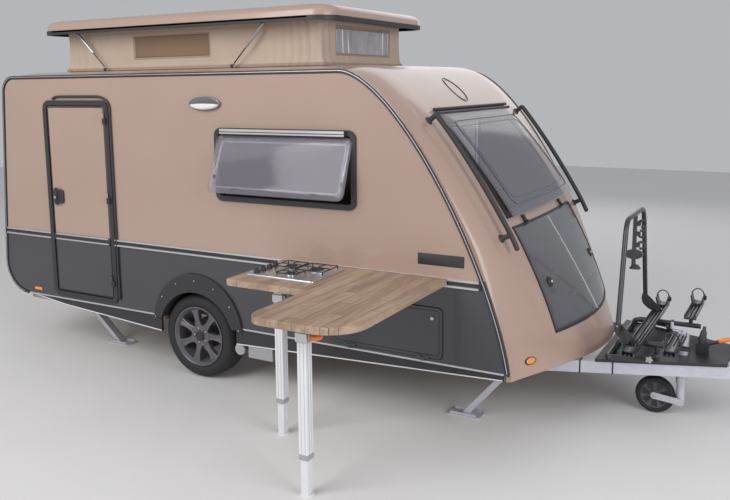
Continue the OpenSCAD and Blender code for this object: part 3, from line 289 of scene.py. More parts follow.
SAND = (0.396, 0.279, 0.226)
SAND_LIGHT = (0.428, 0.292, 0.236)
finishes = {
    "side_paint": finish("side_paint", SAND, 0.32, coat=0.5, grain=0.0002, grain_scale=180, patch=0.04),
    "lower_paint": finish(
        "lower_paint", (0.046, 0.045, 0.056), 0.35, coat=0.4, grain=0.0002, grain_scale=180, patch=0.08
    ),
    "shell": finish("shell", SAND_LIGHT, 0.3, coat=0.35, patch=0.03),
    "trim": finish("trim", (0.028, 0.027, 0.030), 0.5, grain=0.0003, grain_scale=600),
    "rail": finish("rail", (0.62, 0.61, 0.62), 0.35, metal=0.8, grain=0.0001),
    "panes": finish("panes", (0.27, 0.255, 0.305), 0.08, coat=0.8, patch=0.05, alpha=0.36),
    "tent_cloth": tent_canvas(),
    "locker_paint": finish("locker_paint", (0.085, 0.083, 0.095), 0.3, coat=0.5),
    "galvanised": finish(
        "galvanised", (0.60, 0.60, 0.66), 0.5, metal=0.55, grain=0.0002, patch=0.16, patch_scale=30
    ),
    "black_steel": finish("black_steel", (0.035, 0.034, 0.04), 0.4, coat=0.2),
    "tyre_rubber": finish("tyre_rubber", (0.02, 0.02, 0.022), 0.75, grain=0.0004, grain_scale=500),
    "rim_metal": finish("rim_metal", (0.115, 0.11, 0.125), 0.35, coat=0.4, metal=0.2),
    "ply": finish("ply", (0.35, 0.26, 0.18), 0.5),
    "oak": oak_boards(),
    "cushion_cloth": finish("cushion_cloth", (0.3, 0.28, 0.27), 0.9, grain=0.0006),
    "lamp": finish("lamp", (0.8, 0.3, 0.06), 0.2, coat=0.5),
    "grey_plastic": finish("grey_plastic", (0.085, 0.085, 0.09), 0.5, grain=0.0002),
    "white_metal": finish("white_metal", (0.72, 0.72, 0.75), 0.35, coat=0.3),
    "steel": finish("steel", (0.55, 0.55, 0.57), 0.3, metal=0.9),
    "drum": finish("drum", (0.035, 0.028, 0.024), 0.7, grain=0.0004, patch=0.3, patch_scale=20),
    "plug_rubber": finish("plug_rubber", (0.045, 0.044, 0.048), 0.6, grain=0.0002),
    "cast_iron": finish("cast_iron", (0.03, 0.03, 0.032), 0.6, grain=0.0003, grain_scale=900),
    "orange": finish("orange", (0.85, 0.20, 0.02), 0.35, coat=0.3),
    # white_shadow is white_metal at about half its brightness: painted shade for white metal parts
    "white_shadow": finish("white_shadow", (0.35, 0.35, 0.37), 0.5),
    "lamp_red": finish("lamp_red", (0.42, 0.012, 0.014), 0.14, coat=0.8, patch=0.15, patch_scale=40),
    "lamp_clear": finish("lamp_clear", (0.78, 0.77, 0.78), 0.12, coat=0.8, patch=0.1, patch_scale=30),
    "lamp_shade": finish("lamp_shade", (0.16, 0.155, 0.165), 0.25, metal=0.4, coat=0.5),
    "pane_line": finish("pane_line", (0.50, 0.49, 0.55), 0.25, coat=0.5),
    "pane_edge": finish("pane_edge", (0.05, 0.048, 0.055), 0.3),
    "tent_mesh": finish("tent_mesh", (0.24, 0.16, 0.105), 0.9, grain=0.001, grain_scale=700),
    "tent_clear": finish("tent_clear", (0.35, 0.33, 0.34), 0.12, coat=0.6, patch=0.5, patch_scale=9),
}

for row in frame["record"]["subparts"]:
    node = NODES[row["node"]]
    node.data.materials.clear()
    node.data.materials.append(finishes[row["material_slot"]])


# Ground, world and lamps


def studio():
    floor_mesh = bpy.data.meshes.new("floor")
    size = 14
    floor_mesh.from_pydata(
        [at(-size, -size, 0), at(size, -size, 0), at(size, size, 0), at(-size, size, 0)], [], [(0, 1, 2, 3)]
    )
    ground = bpy.data.objects.new("studio_floor", floor_mesh)
    bpy.context.scene.collection.objects.link(ground)
    ground.data.materials.append(finish("studio_floor", (0.72, 0.71, 0.70), 0.8, patch=0.02))
    world = bpy.data.worlds.new("studio")
    bpy.context.scene.world = world
    world.use_nodes = True
    world.node_tree.nodes["Background"].inputs["Color"].default_value = (0.82, 0.84, 0.88, 1)
    world.node_tree.nodes["Background"].inputs["Strength"].default_value = 0.56
    for name, place, size, power, colour in (
        ("key", (-1.5, -7.5, 5.2), 5.0, 400, (1, 0.99, 0.98)),
        ("fill", (7.5, -3.0, 3.2), 4.0, 210, (0.96, 0.97, 1)),
        ("back", (0.0, 7.0, 4.5), 5.0, 80, (1, 1, 1)),
    ):
        lamp = bpy.data.lights.new(name, "AREA")
        lamp.energy = power
        lamp.size = size
        lamp.color = colour
        holder = bpy.data.objects.new(name, lamp)
        holder.location = at(*place)
        aim = at(0.6, 0, 0.9) - holder.location
        holder.rotation_euler = aim.to_track_quat("-Z", "Y").to_euler()
        bpy.context.scene.collection.objects.link(holder)


studio()
bpy.context.scene.view_settings.view_transform = "Standard"


# Making pieces


def piece(name, verts, faces, material, body="caravan", slot=None, smooth=True, stands_for=(), angle=40):
    """A mesh in the part's frame that rides on a body. Faces sharper than the angle stay sharp."""
    mesh = bpy.data.meshes.new(name)
    mesh.from_pydata([tuple(v) for v in verts], [], faces)
    mesh.validate()
    work = bmesh.new()
    work.from_mesh(mesh)
    bmesh.ops.remove_doubles(work, verts=work.verts, dist=1e-5)
    bmesh.ops.recalc_face_normals(work, faces=work.faces)
    work.to_mesh(mesh)
    work.free()
    made = bpy.data.objects.new(name, mesh)
    bpy.context.scene.collection.objects.link(made)
    mesh.materials.append(finishes.get(material, None) if isinstance(material, str) else material)
    if smooth:
        mesh.shade_smooth()
        mesh.set_sharp_from_angle(angle=math.radians(angle))
    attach(made, body)
    if stands_for:
        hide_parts(*stands_for)
    return made


BOX_FACES = ((0, 1, 3, 2), (4, 6, 7, 5), (0, 4, 5, 1), (2, 3, 7, 6), (0, 2, 6, 4), (1, 5, 7, 3))


class Lump:
    """Collects the vertices and faces of one piece that is made of many small shapes."""

    def __init__(self):
        self.verts = []
        self.faces = []

    def add(self, verts, faces):
        start = len(self.verts)
        self.verts += [Vector(v) for v in verts]
        self.faces += [tuple(start + k for k in f) for f in faces]
        return self

    def grid(self, rows, closed_rows=False, closed_cols=False, caps=False):
        """Rows of points, joined by quads."""
        n, m = len(rows), len(rows[0])
        faces = []
        for i in range(n if closed_rows else n - 1):
            for j in range(m if closed_cols else m - 1):
                a, b = i * m + j, ((i + 1) % n) * m + j
                c, d = ((i + 1) % n) * m + (j + 1) % m, i * m + (j + 1) % m
                faces.append((a, b, c, d))
        if caps:
            faces += [tuple(range(m)), tuple(reversed(range((n - 1) * m, n * m)))]
        return self.add([p for row in rows for p in row], faces)

    def loft(self, rings):
        """Closed rings of points, joined one to the next, with both ends closed."""
        return self.grid(rings, closed_cols=True, caps=True)

    def tube(self, points, radius, sides=12, closed=False):
        """A round tube along points. radius is a number, or one for each point."""
        points = [Vector(p) for p in points]
        n = len(points)
        radii = radius if isinstance(radius, (list, tuple)) else [radius] * n
        frame_up = None
        rows = []
        for i, point in enumerate(points):
            before = points[i - 1] if i or closed else point
            after = points[(i + 1) % n] if i < n - 1 or closed else point
            way = (after - before).normalized()
            if frame_up is None:
                frame_up = way.orthogonal().normalized()
            frame_up = (frame_up - frame_up.dot(way) * way).normalized()
            side = way.cross(frame_up)
            rows.append(
                [
                    point + radii[i] * (math.cos(a) * frame_up + math.sin(a) * side)
                    for a in turns(sides)
                ]
            )
        return self.grid(rows, closed_rows=closed, closed_cols=True, caps=not closed)

    def box(self, low, high, round_by=0.0):
        """A box with its edges cut by round_by."""
        low, high = Vector(low), Vector(high)
        middle, half = (low + high) / 2, (high - low) / 2
        if not round_by:
            signs = [(x, y, z) for x in (-1, 1) for y in (-1, 1) for z in (-1, 1)]
            corners = [middle + Vector((x * half.x, y * half.y, z * half.z)) for x, y, z in signs]
            return self.add(corners, BOX_FACES)
        rings = []
        rise = half.z - round_by
        for z, inset in ((-half.z, round_by), (-rise, 0), (rise, 0), (half.z, round_by)):
            ring = []
            for sx, sy in ((1, 1), (-1, 1), (-1, -1), (1, -1)):
                x, y = half.x - inset, half.y - inset
                cut = min(round_by, x, y)
                pair = [(x, y - cut), (x - cut, y)]
                if sx * sy < 0:
                    pair.reverse()
                ring += [middle + Vector((sx * a, sy * b, z)) for a, b in pair]
            rings.append(ring)
        return self.loft(rings)

    def block(self, middle, half, round_by):
        """A box round its middle."""
        half = Vector(half)
        return self.box(middle - half, middle + half, round_by)

    def lathe(self, profile, start, axis, sides=32, twist=0.0):
        """Rows of (radius, distance along the axis) turned round a line. Off the axis they make a ring."""
        axis = Vector(axis).normalized()
        out = axis.orthogonal().normalized()
        side = axis.cross(out)
        rows = [
            [
                Vector(start) + h * axis + r * (math.cos(a) * out + math.sin(a) * side)
                for a in turns(sides, twist)
            ]
            for r, h in profile
        ]
        return self.grid(rows, closed_rows=profile[0][0] > 1e-6 and profile[-1][0] > 1e-6, closed_cols=True)

    def turned(self, profile, sides):
        """A profile turned round z, from the origin up."""
        return self.lathe(profile, (0, 0, 0), (0, 0, 1), sides)

    def moved(self, matrix):
        self.verts = [matrix @ v for v in self.verts]
        return self

    def slab(self, outline, low, high):
        """A flat outline of (u, v) points mapped by low(u, v) and high(u, v)."""
        n = len(outline)
        verts = [low(*p) for p in outline] + [high(*p) for p in outline]
        faces = [tuple(range(n)), tuple(range(2 * n - 1, n - 1, -1))]
        faces += [(k, (k + 1) % n, n + (k + 1) % n, n + k) for k in range(n)]
        return self.add(verts, faces)

    def piece(self, name, material, body="caravan", **options):
        return piece(name, self.verts, self.faces, material, body, **options)


def turns(count, start=0.0):
    """The angles of evenly spaced points round a circle."""
    return [start + 2 * math.pi * k / count for k in range(count)]


def round_outline(x0, y0, x1, y1, radius, steps=6):
    """Points of a rectangle with round corners, counter-clockwise."""
    points = []
    left, right, low, high = x0 + radius, x1 - radius, y0 + radius, y1 - radius
    for cx, cy, first in ((right, high, 0), (left, high, 90), (left, low, 180), (right, low, 270)):
        for k in range(steps + 1):
            a = math.radians(first + 90 * k / steps)
            points.append((cx + radius * math.cos(a), cy + radius * math.sin(a)))
    return points


# Repeats, made by Geometry Nodes


class Tree:
    """A Geometry Nodes tree with named inputs, which repeats the mesh that it is given."""

    def __init__(self, name, sizes):
        self.tree = bpy.data.node_groups.new(name, "GeometryNodeTree")
        sockets = self.tree.interface
        sockets.new_socket("Shape", in_out="INPUT", socket_type="NodeSocketGeometry")
        for label, kind in (*sizes, ("Finish", "Material")):
            sockets.new_socket(label, in_out="INPUT", socket_type="NodeSocket" + kind)
        sockets.new_socket("Result", in_out="OUTPUT", socket_type="NodeSocketGeometry")
        self.given = self.tree.nodes.new("NodeGroupInput").outputs

    def node(self, kind, settings, sockets, output=0):
        made = self.tree.nodes.new(kind)
        for key, value in settings.items():
            setattr(made, key, value)
        for key, value in sockets.items():
            if isinstance(value, bpy.types.NodeSocket):
                self.tree.links.new(value, made.inputs[key])
            else:
                made.inputs[key].default_value = value
        return made.outputs[output]

    def maths(self, operation, *values):
        return self.node("ShaderNodeMath", {"operation": operation}, dict(enumerate(values)))

    def repeat_on(self, points, rotation):
        """Puts the given shape on the points, and ends the tree."""
        inputs = {"Points": points, "Instance": self.given["Shape"], "Rotation": rotation}
        copies = self.node("GeometryNodeInstanceOnPoints", {}, inputs)
        real = self.node("GeometryNodeRealizeInstances", {}, {"Geometry": copies})
        done = self.node("GeometryNodeSetMaterial", {}, {"Geometry": real, "Material": self.given["Finish"]})
        self.tree.links.new(done, self.tree.nodes.new("NodeGroupOutput").inputs["Result"])
        return self.tree


def round_tree():
    """Copies on an arc round z: how many, how far out, the first one's angle and the turn to the next."""
    sizes = (("Count", "Int"), ("Radius", "Float"), ("First", "Float"), ("Turn", "Float"))
    made = Tree("repeat_round", sizes)
    index = made.node("GeometryNodeInputIndex", {}, {})
    angle = made.maths("MULTIPLY_ADD", index, made.given["Turn"], made.given["First"])
    x = made.maths("MULTIPLY", made.maths("COSINE", angle), made.given["Radius"])
    y = made.maths("MULTIPLY", made.maths("SINE", angle), made.given["Radius"])
    line = made.node("GeometryNodeMeshLine", {}, {"Count": made.given["Count"], "Offset": (0, 0, 0)})
    place = made.node("ShaderNodeCombineXYZ", {}, {"X": x, "Y": y})
    points = made.node("GeometryNodeSetPosition", {}, {"Geometry": line, "Position": place})
    turn = made.node("ShaderNodeCombineXYZ", {}, {"Z": angle})
    return made.repeat_on(points, turn)


def row_tree():
    """Copies in a straight row: how many, and the step from one to the next."""
    made = Tree("repeat_in_row", (("Count", "Int"), ("Step", "Vector")))
    line = made.node("GeometryNodeMeshLine", {}, {"Count": made.given["Count"], "Offset": made.given["Step"]})
    return made.repeat_on(line, (0, 0, 0))


ROUND, ROW = round_tree(), row_tree()


def repeated(name, tree, shape, sizes, material, place, body="caravan", angle=40):
    """One piece made of copies of a Lump, by a tree and its sizes. place is the matrix that seats it."""
    mesh = bpy.data.meshes.new(name)
    mesh.from_pydata([tuple(v) for v in shape.verts], [], shape.faces)
    work = bmesh.new()
    work.from_mesh(mesh)
    bmesh.ops.remove_doubles(work, verts=work.verts, dist=1e-6)
    bmesh.ops.recalc_face_normals(work, faces=work.faces)
    work.to_mesh(mesh)
    work.free()
    made = bpy.data.objects.new(name, mesh)
    bpy.context.scene.collection.objects.link(made)
    modifier = made.modifiers.new("repeat", "NODES")
    modifier.node_group = tree
    finish_of = {**sizes, "Finish": finishes[material]}
    for item in tree.interface.items_tree:
        if item.in_out == "INPUT" and item.name in finish_of:
            modifier[item.identifier] = finish_of[item.name]
    apply_modifiers(made)
    made.data.transform(place)
    made.data.shade_smooth()
    made.data.set_sharp_from_angle(angle=math.radians(angle))
    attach(made, body)
    return made


def apply_modifiers(obj):
    """Turns a piece's modifiers into its mesh."""
    bpy.context.view_layer.update()
    graph = bpy.context.evaluated_depsgraph_get()
    mesh = bpy.data.meshes.new_from_object(obj.evaluated_get(graph))
    obj.modifiers.clear()
    obj.data = mesh


# The body's curved skin, by the rule of the part's source

ROOF = 2.034
WALL = 0.030
WALL_IN = HALF_WIDTH - WALL
NOSE = [(1.130, 2.034), (1.482, 2.034), (2.078, 0.996), (2.174, 0.362)]
NOSE_FOOT = 0.362
BULGE = 0.270
CROWN = 0.030
CROWN_FLAT = 0.700


def nose_at(t):
    w = ((1 - t) ** 3, 3 * t * (1 - t) ** 2, 3 * t * t * (1 - t), t**3)
    return tuple(sum(k * p[i] for k, p in zip(w, NOSE)) for i in (0, 1))


def nose_way(t):
    w = (3 * (1 - t) ** 2, 6 * t * (1 - t), 3 * t * t)
    return tuple(sum(k * (NOSE[n + 1][i] - NOSE[n][i]) for n, k in enumerate(w)) for i in (0, 1))


def nose_share(z):
    low, high = 0.0, 1.0
    for _ in range(24):
        middle = (low + high) / 2
        if nose_at(middle)[1] > z:
            low = middle
        else:
            high = middle
    return middle


def crown(y):
    return CROWN * (1 - max(0.0, (abs(y) - CROWN_FLAT) / (WALL_IN - CROWN_FLAT)) ** 2)


def skin(t, y, off=0.0):
    """A point of the front, t down from the roof and y across, moved out by off."""
    px, pz = nose_at(t)
    dx, dz = nose_way(t)
    length = math.hypot(dx, dz)
    out = off + crown(y)
    depth = BULGE * max(0.0, (ROOF - pz) / (ROOF - NOSE_FOOT)) ** 1.7
    power = max(0.45, 1.3 - 1.2 * (pz - NOSE_FOOT))
    bulge = depth * max(0.0, math.cos(math.pi / 2 * min(1.0, abs(y) / WALL_IN))) ** power
    return at(px - out * dz / length + bulge, y, pz + out * dx / length)


def steps(first, last, count):
    return [first + (last - first) * k / count for k in range(count + 1)]


def across_skin(edges, spacing=0.03):
    """Columns between the given edges, none further apart than the spacing."""
    cols = []
    for a, b in zip(edges, edges[1:]):
        cols += steps(a, b, max(1, math.ceil(abs(b - a) / spacing)))[:-1]
    return cols + [edges[-1]]


def open_sheet(lump, rows, cols, verts, open_at=()):
    """A closed sheet between two grids of points, with openings given as (row0, row1, col0, col1)."""
    nr, nc = len(rows), len(cols)

    def shown(i, j):
        if not (0 <= i < nr - 1 and 0 <= j < nc - 1):
            return False
        t, y = (rows[i] + rows[i + 1]) / 2, (cols[j] + cols[j + 1]) / 2
        return not any(o[0] < t < o[1] and o[2] < y < o[3] for o in open_at)

    faces = []
    n = nr * nc
    for i in range(nr - 1):
        for j in range(nc - 1):
            if not shown(i, j):
                continue
            a, b, c, d = i * nc + j, (i + 1) * nc + j, (i + 1) * nc + j + 1, i * nc + j + 1
            faces += [(a, b, c, d), (a + n, d + n, c + n, b + n)]
            borders = (((i, j - 1), a, b), ((i - 1, j), d, a), ((i, j + 1), c, d), ((i + 1, j), b, c))
            for near, p, q in borders:
                if not shown(*near):
                    faces.append((p, p + n, q + n, q))
    return lump.add(verts, faces)


def skin_patch(lump, rows, cols, outer, inner, open_at=()):
    """A shell between two offsets of the skin, with openings given as (t0, t1, y0, y1)."""

    def layer(off):
        return [skin(t, y, off(t, y) if callable(off) else off) for t in rows for y in cols]

    return open_sheet(lump, rows, cols, layer(outer) + layer(inner), open_at)


# Front: shell, window and locker

# Openings of the front: their heights over the ground, and half their width
WINDOW_ROWS = (nose_share(1.735), nose_share(1.165))
LOCKER_ROWS = (nose_share(1.120), nose_share(0.535))
OPEN_HALF = 0.590
# The window's rubber ring: the heights and half width of its own opening
RING_HIGH, RING_LOW, RING_HALF = 1.701, 1.199, 0.556
# The locker's lid
LID_HIGH, LID_LOW = 1.114, 0.541


def soft_step(value, low, high):
    share = min(1.0, max(0.0, (value - low) / (high - low)))
    return share * share * (3 - 2 * share)


def front_cols():
    """Columns across the front, closer together towards the sides."""
    cols = {round(WALL_IN * math.sin(math.pi / 2 * k / 46), 5) for k in range(-46, 47)}
    cols = {c for c in cols if abs(abs(c) - OPEN_HALF) > 0.008}
    return sorted(cols | {OPEN_HALF, -OPEN_HALF})


def shell_surface(t, y):
    """The shell's own relief: a shallow channel between the window and the side edge."""
    z = nose_at(t)[1]
    along = soft_step(z, 1.00, 1.12) * soft_step(-z, -1.86, -1.74)
    channel = math.exp(-(((abs(y) - 0.822) / 0.013) ** 2))
    return -0.005 * along * channel


def make_front():
    shell = Lump()
    rows = across_skin([0, *WINDOW_ROWS, *LOCKER_ROWS, 1], 0.0125)
    openings = [(*WINDOW_ROWS, -OPEN_HALF, OPEN_HALF), (*LOCKER_ROWS, -OPEN_HALF, OPEN_HALF)]
    skin_patch(shell, rows, front_cols(), shell_surface, -WALL, openings)
    shell.piece("front_shell_skin", "shell", stands_for=("front_shell",), angle=50)

    # Rubber frame of the window, and the two hinge bars over it
    ring = Lump()
    top, low = WINDOW_ROWS[0] + 0.0003, WINDOW_ROWS[1] - 0.0003
    inner = (nose_share(RING_HIGH), nose_share(RING_LOW), -RING_HALF, RING_HALF)
    rows = across_skin([top, inner[0], inner[1], low], 0.02)
    cols = across_skin([-OPEN_HALF + 0.0003, -RING_HALF, RING_HALF, OPEN_HALF - 0.0003], 0.04)
    skin_patch(ring, rows, cols, 0.008, -0.026, [inner])
    ring.piece("front_window_ring", "trim", stands_for=("front_window",))
    bars = Lump()
    for z, off in ((1.772, 0.012), (1.748, 0.016)):
        t = nose_share(z)
        bars.tube([skin(t, y, off) for y in steps(-0.625, 0.625, 24)], 0.0105, 10)
    bars.piece("front_window_bars", "trim")


def pane_rows():
    return across_skin([WINDOW_ROWS[0] - 0.004, WINDOW_ROWS[1] + 0.002], 0.016)


def pane_off(t, base):
    share = (t - WINDOW_ROWS[0]) / (WINDOW_ROWS[1] - WINDOW_ROWS[0])
    return base + 0.040 * share


def dense(loop, spacing=0.05):
    """The same closed outline with points no further apart than the spacing."""
    points = []
    for a, b in zip(loop, loop[1:] + loop[:1]):
        count = max(1, math.ceil(math.dist(a, b) / spacing))
        points += [(a[0] + (b[0] - a[0]) * k / count, a[1] + (b[1] - a[1]) * k / count) for k in range(count)]
    return points


def make_front_pane():
    """The hinged front pane: a thick clear edge round a raised, darker middle."""
    pane = Lump()
    half = 0.612
    rows, cols = pane_rows(), across_skin([-half, half], 0.03)

    def outer(t, y):
        margin = min(half - abs(y), 9 * (t - rows[0]) * 0.5, 9 * (rows[-1] - t) * 0.5)
        return pane_off(t, 0.021 + 0.009 * soft_step(margin, 0.0, 0.06))

    skin_patch(pane, rows, cols, outer, lambda t, y: pane_off(t, 0.0085))
    pane.piece("front_pane_glass", "panes", stands_for=("front_pane",))
    inner = Lump()
    for margin, radius in ((0.0, 0.0028), (0.030, 0.0016)):
        loop = round_outline(-0.555 + margin, 1.215 + margin, 0.555 - margin, 1.690 - margin, 0.045, 8)
        spots = [(nose_share(z), y) for y, z in dense(loop)]
        inner.tube([skin(t, y, pane_off(t, 0.0305)) for t, y in spots], radius, 8, closed=True)
    inner.piece("front_pane_outline", "pane_edge", slot="panes")


def make_locker():
    """The locker lid: a rubber edge, three pressed lines on each half and a bright strip down the middle."""
    edge = OPEN_HALF - 0.006
    first, last = nose_share(LID_HIGH), nose_share(LID_LOW)

    def surface(t, y):
        z = nose_at(t)[1]
        relief = 0.006
        for line in (0.985, 0.842, 0.70):
            fade = soft_step(abs(y), 0.0, 0.02) * (1 - soft_step(abs(y), 0.26, 0.46))
            relief -= 0.008 * fade * math.exp(-(((z - line) / 0.012) ** 2)) if z < line else 0.0
        rim = min(edge - abs(y), max(0.0, z - LID_LOW), LID_HIGH - z)
        return relief - 0.006 * (1 - soft_step(rim, 0.0, 0.022))

    lid = Lump()
    skin_patch(lid, across_skin([first, last], 0.0035), across_skin([-edge, 0, edge], 0.02), surface, -0.022)
    lid.piece("locker_lid_skin", "locker_paint", "front_locker_lid", stands_for=("locker_lid",), angle=60)
    rim = Lump()
    path = [skin(first, y, 0.004) for y in steps(-edge, edge, 30)]
    path += [skin(t, edge, 0.004) for t in steps(first, last, 24)[1:]]
    path += [skin(last, -y, 0.004) for y in steps(-edge, edge, 30)[1:]]
    path += [skin(t, -edge, 0.004) for t in steps(last, first, 24)[1:-1]]
    rim.tube(path, 0.0055, 8, closed=True)
    rim.piece("locker_lid_rubber", "trim", "front_locker_lid")
    strip = Lump()
    strip.tube([skin(t, 0, 0.006) for t in steps(first + 0.005, last - 0.004, 30)], 0.0045, 8)
    strip.piece("locker_lid_strip", "rail", "front_locker_lid")
    locks = Lump()
    bright = Lump()
    lock_t, lock_y = nose_share(0.796), 0.468
    for side in (-1, 1):
        place = skin(lock_t, side * lock_y, 0.004)
        way = (skin(lock_t, side * lock_y, 0.05) - place).normalized()
        plate = [(0, 0), (0.031, 0), (0.031, 0.006), (0.026, 0.011), (0.014, 0.013), (0, 0.013)]
        locks.lathe(plate, place, way, 28)
        bright.lathe([(0, 0.012), (0.009, 0.012), (0.009, 0.016), (0.006, 0.019), (0, 0.019)], place, way, 20)
    locks.piece("locker_locks", "trim", "front_locker_lid")
    bright.piece("locker_keyholes", "rail", "front_locker_lid")


# Roof and pop top

REAR_LEAN = math.radians(4.4)
REAR_TOP_R = 0.120
REAR_LOW_R = 0.230
SILL = 0.402


def rear_line(z):
    return -1.880 + (z - SILL) * math.tan(REAR_LEAN)


TOP_Z = ROOF - REAR_TOP_R
TOP_X = rear_line(TOP_Z) + REAR_TOP_R / math.cos(REAR_LEAN)
LOW_Z = SILL + REAR_LOW_R
LOW_X = rear_line(LOW_Z) + REAR_LOW_R / math.cos(REAR_LEAN)


def inset_box(box, inset, radius, steps_in_corner):
    """A rounded outline inside the box (x0, y0, x1, y1)."""
    x0, y0, x1, y1 = box
    return round_outline(x0 + inset, y0 + inset, x1 - inset, y1 - inset, radius, steps_in_corner)


def tent_outline(inset, steps_in_corner=8):
    return inset_box((-1.556, -0.588, 0.762, 0.588), inset, max(0.07 - inset, 0.01), steps_in_corner)


def rings_of(outline, form, z):
    """Rings of an outline that takes an inset, from rows of height over z and inset."""
    return [[at(x, y, z + h) for x, y in outline(inset)] for h, inset in form]


def make_roof():
    """The crowned roof, open under the tent, with the rounded rear top."""
    hole_y = 0.548
    hole = (-1.516, 0.722, -hole_y, hole_y)
    xs = across_skin([TOP_X, hole[0], hole[1], 1.130], 0.10)
    cols = sorted({c for c in front_cols() if abs(abs(c) - hole_y) > 0.01} | {-hole_y, hole_y})
    verts = [at(x, y, ROOF + crown(y) - deep) for deep in (0, WALL) for x in xs for y in cols]
    roof = open_sheet(Lump(), xs, cols, verts, [hole])
    roof.piece("roof_skin", "shell", stands_for=("roof_panel",))
    kerb = Lump()
    form = ((-0.002, -0.006), (0.006, -0.006), (0.006, 0.040), (-0.002, 0.040))
    kerb.grid(rings_of(tent_outline, form, ROOF + CROWN), closed_rows=True, closed_cols=True)
    kerb.piece("roof_kerb", "trim")
    verts = []
    quarter = math.pi / 2
    for radius in (REAR_TOP_R, REAR_TOP_R - WALL):
        for share in steps(0, 1, 14):
            a = quarter + (quarter - REAR_LEAN) * share
            for y in cols:
                r = radius + crown(y) * (1 - share)
                verts.append(at(TOP_X + r * math.cos(a), y, TOP_Z + r * math.sin(a)))
    top = open_sheet(Lump(), range(15), cols, verts)
    top.piece("rear_top_skin", "shell", stands_for=("rear_top",))


LID_FOOT = 2.345
# Rows of height over the lid's foot, and inset
LID_FORM = ((0.028, 0.0), (0.060, 0.003), (0.074, 0.010), (0.092, 0.036), (0.102, 0.075), (0.107, 0.125))
BAND_FORM = (
    (0.0005, -0.002), (0.0, -0.0055), (0.008, -0.006), (0.010, -0.0035),
    (0.013, -0.0035), (0.015, -0.006), (0.026, -0.006), (0.0285, -0.002),
)
BAND_INSIDE = ((0.0005, -0.002), (0.0005, 0.024), (0.020, 0.024))
BAND_LINE = ((0.0102, -0.0036), (0.0106, -0.0048), (0.0124, -0.0048), (0.0128, -0.0036))


def lid_outline(inset):
    return inset_box((-1.682, -0.720, 0.890, 0.720), inset, max(0.150 - min(inset, 0.06), 0.04), 10)


def make_lid():
    rings = rings_of(lid_outline, LID_FORM, LID_FOOT)
    lid = Lump().grid(rings, closed_cols=True)
    lid.add(rings[-1], [tuple(range(len(rings[-1])))])
    lid.add(rings[0], [tuple(reversed(range(len(rings[0]))))])
    lid.piece("lid_skin", "shell", "pop_top", stands_for=("lid_shell",), angle=35)
    # The dark band round its foot, with a bright line in it
    band = Lump().grid(rings_of(lid_outline, BAND_FORM, LID_FOOT), closed_cols=True)
    band.grid(rings_of(lid_outline, BAND_INSIDE, LID_FOOT), closed_cols=True)
    band.piece("lid_band", "trim", "pop_top")
    light = Lump().grid(rings_of(lid_outline, BAND_LINE, LID_FOOT), closed_cols=True)
    light.piece("lid_band_line", "rail", "pop_top")


TENT_LOW, TENT_HIGH = 2.0703, 2.3647


def walked(loop, count):
    """Equal steps round a closed outline, as (x, y, outward direction, distance walked), and its length."""
    loop = loop + [loop[0]]
    lengths = [math.dist(a, b) for a, b in zip(loop, loop[1:])]
    total = sum(lengths)
    points = []
    part, done = 0, 0.0
    for k in range(count):
        goal = total * k / count
        while done + lengths[part] < goal:
            done += lengths[part]
            part += 1
        share = (goal - done) / lengths[part]
        a, b = loop[part], loop[part + 1]
        way = ((b[0] - a[0]) / lengths[part], (b[1] - a[1]) / lengths[part])
        x, y = (p + share * (q - p) for p, q in zip(a, b))
        points.append((x, y, (way[1], -way[0]), goal))
    return points, total


TENT_PARTS = (
    ("cloth", "tent_cloth_walls", "tent_cloth"),
    ("mesh", "tent_mesh_windows", "tent_mesh"),
    ("clear", "tent_clear_window", "tent_clear"),
)


def tent_window(x, y, z):
    """Which window a point of the tent is in: mesh on the sides, clear on the front."""
    if abs(y) > 0.55 and -0.845 < x < -0.155 and 2.158 < z < 2.302:
        return "mesh"
    if x > 0.70 and abs(y) < 0.385 and 2.150 < z < 2.320:
        return "clear"
    return "cloth"


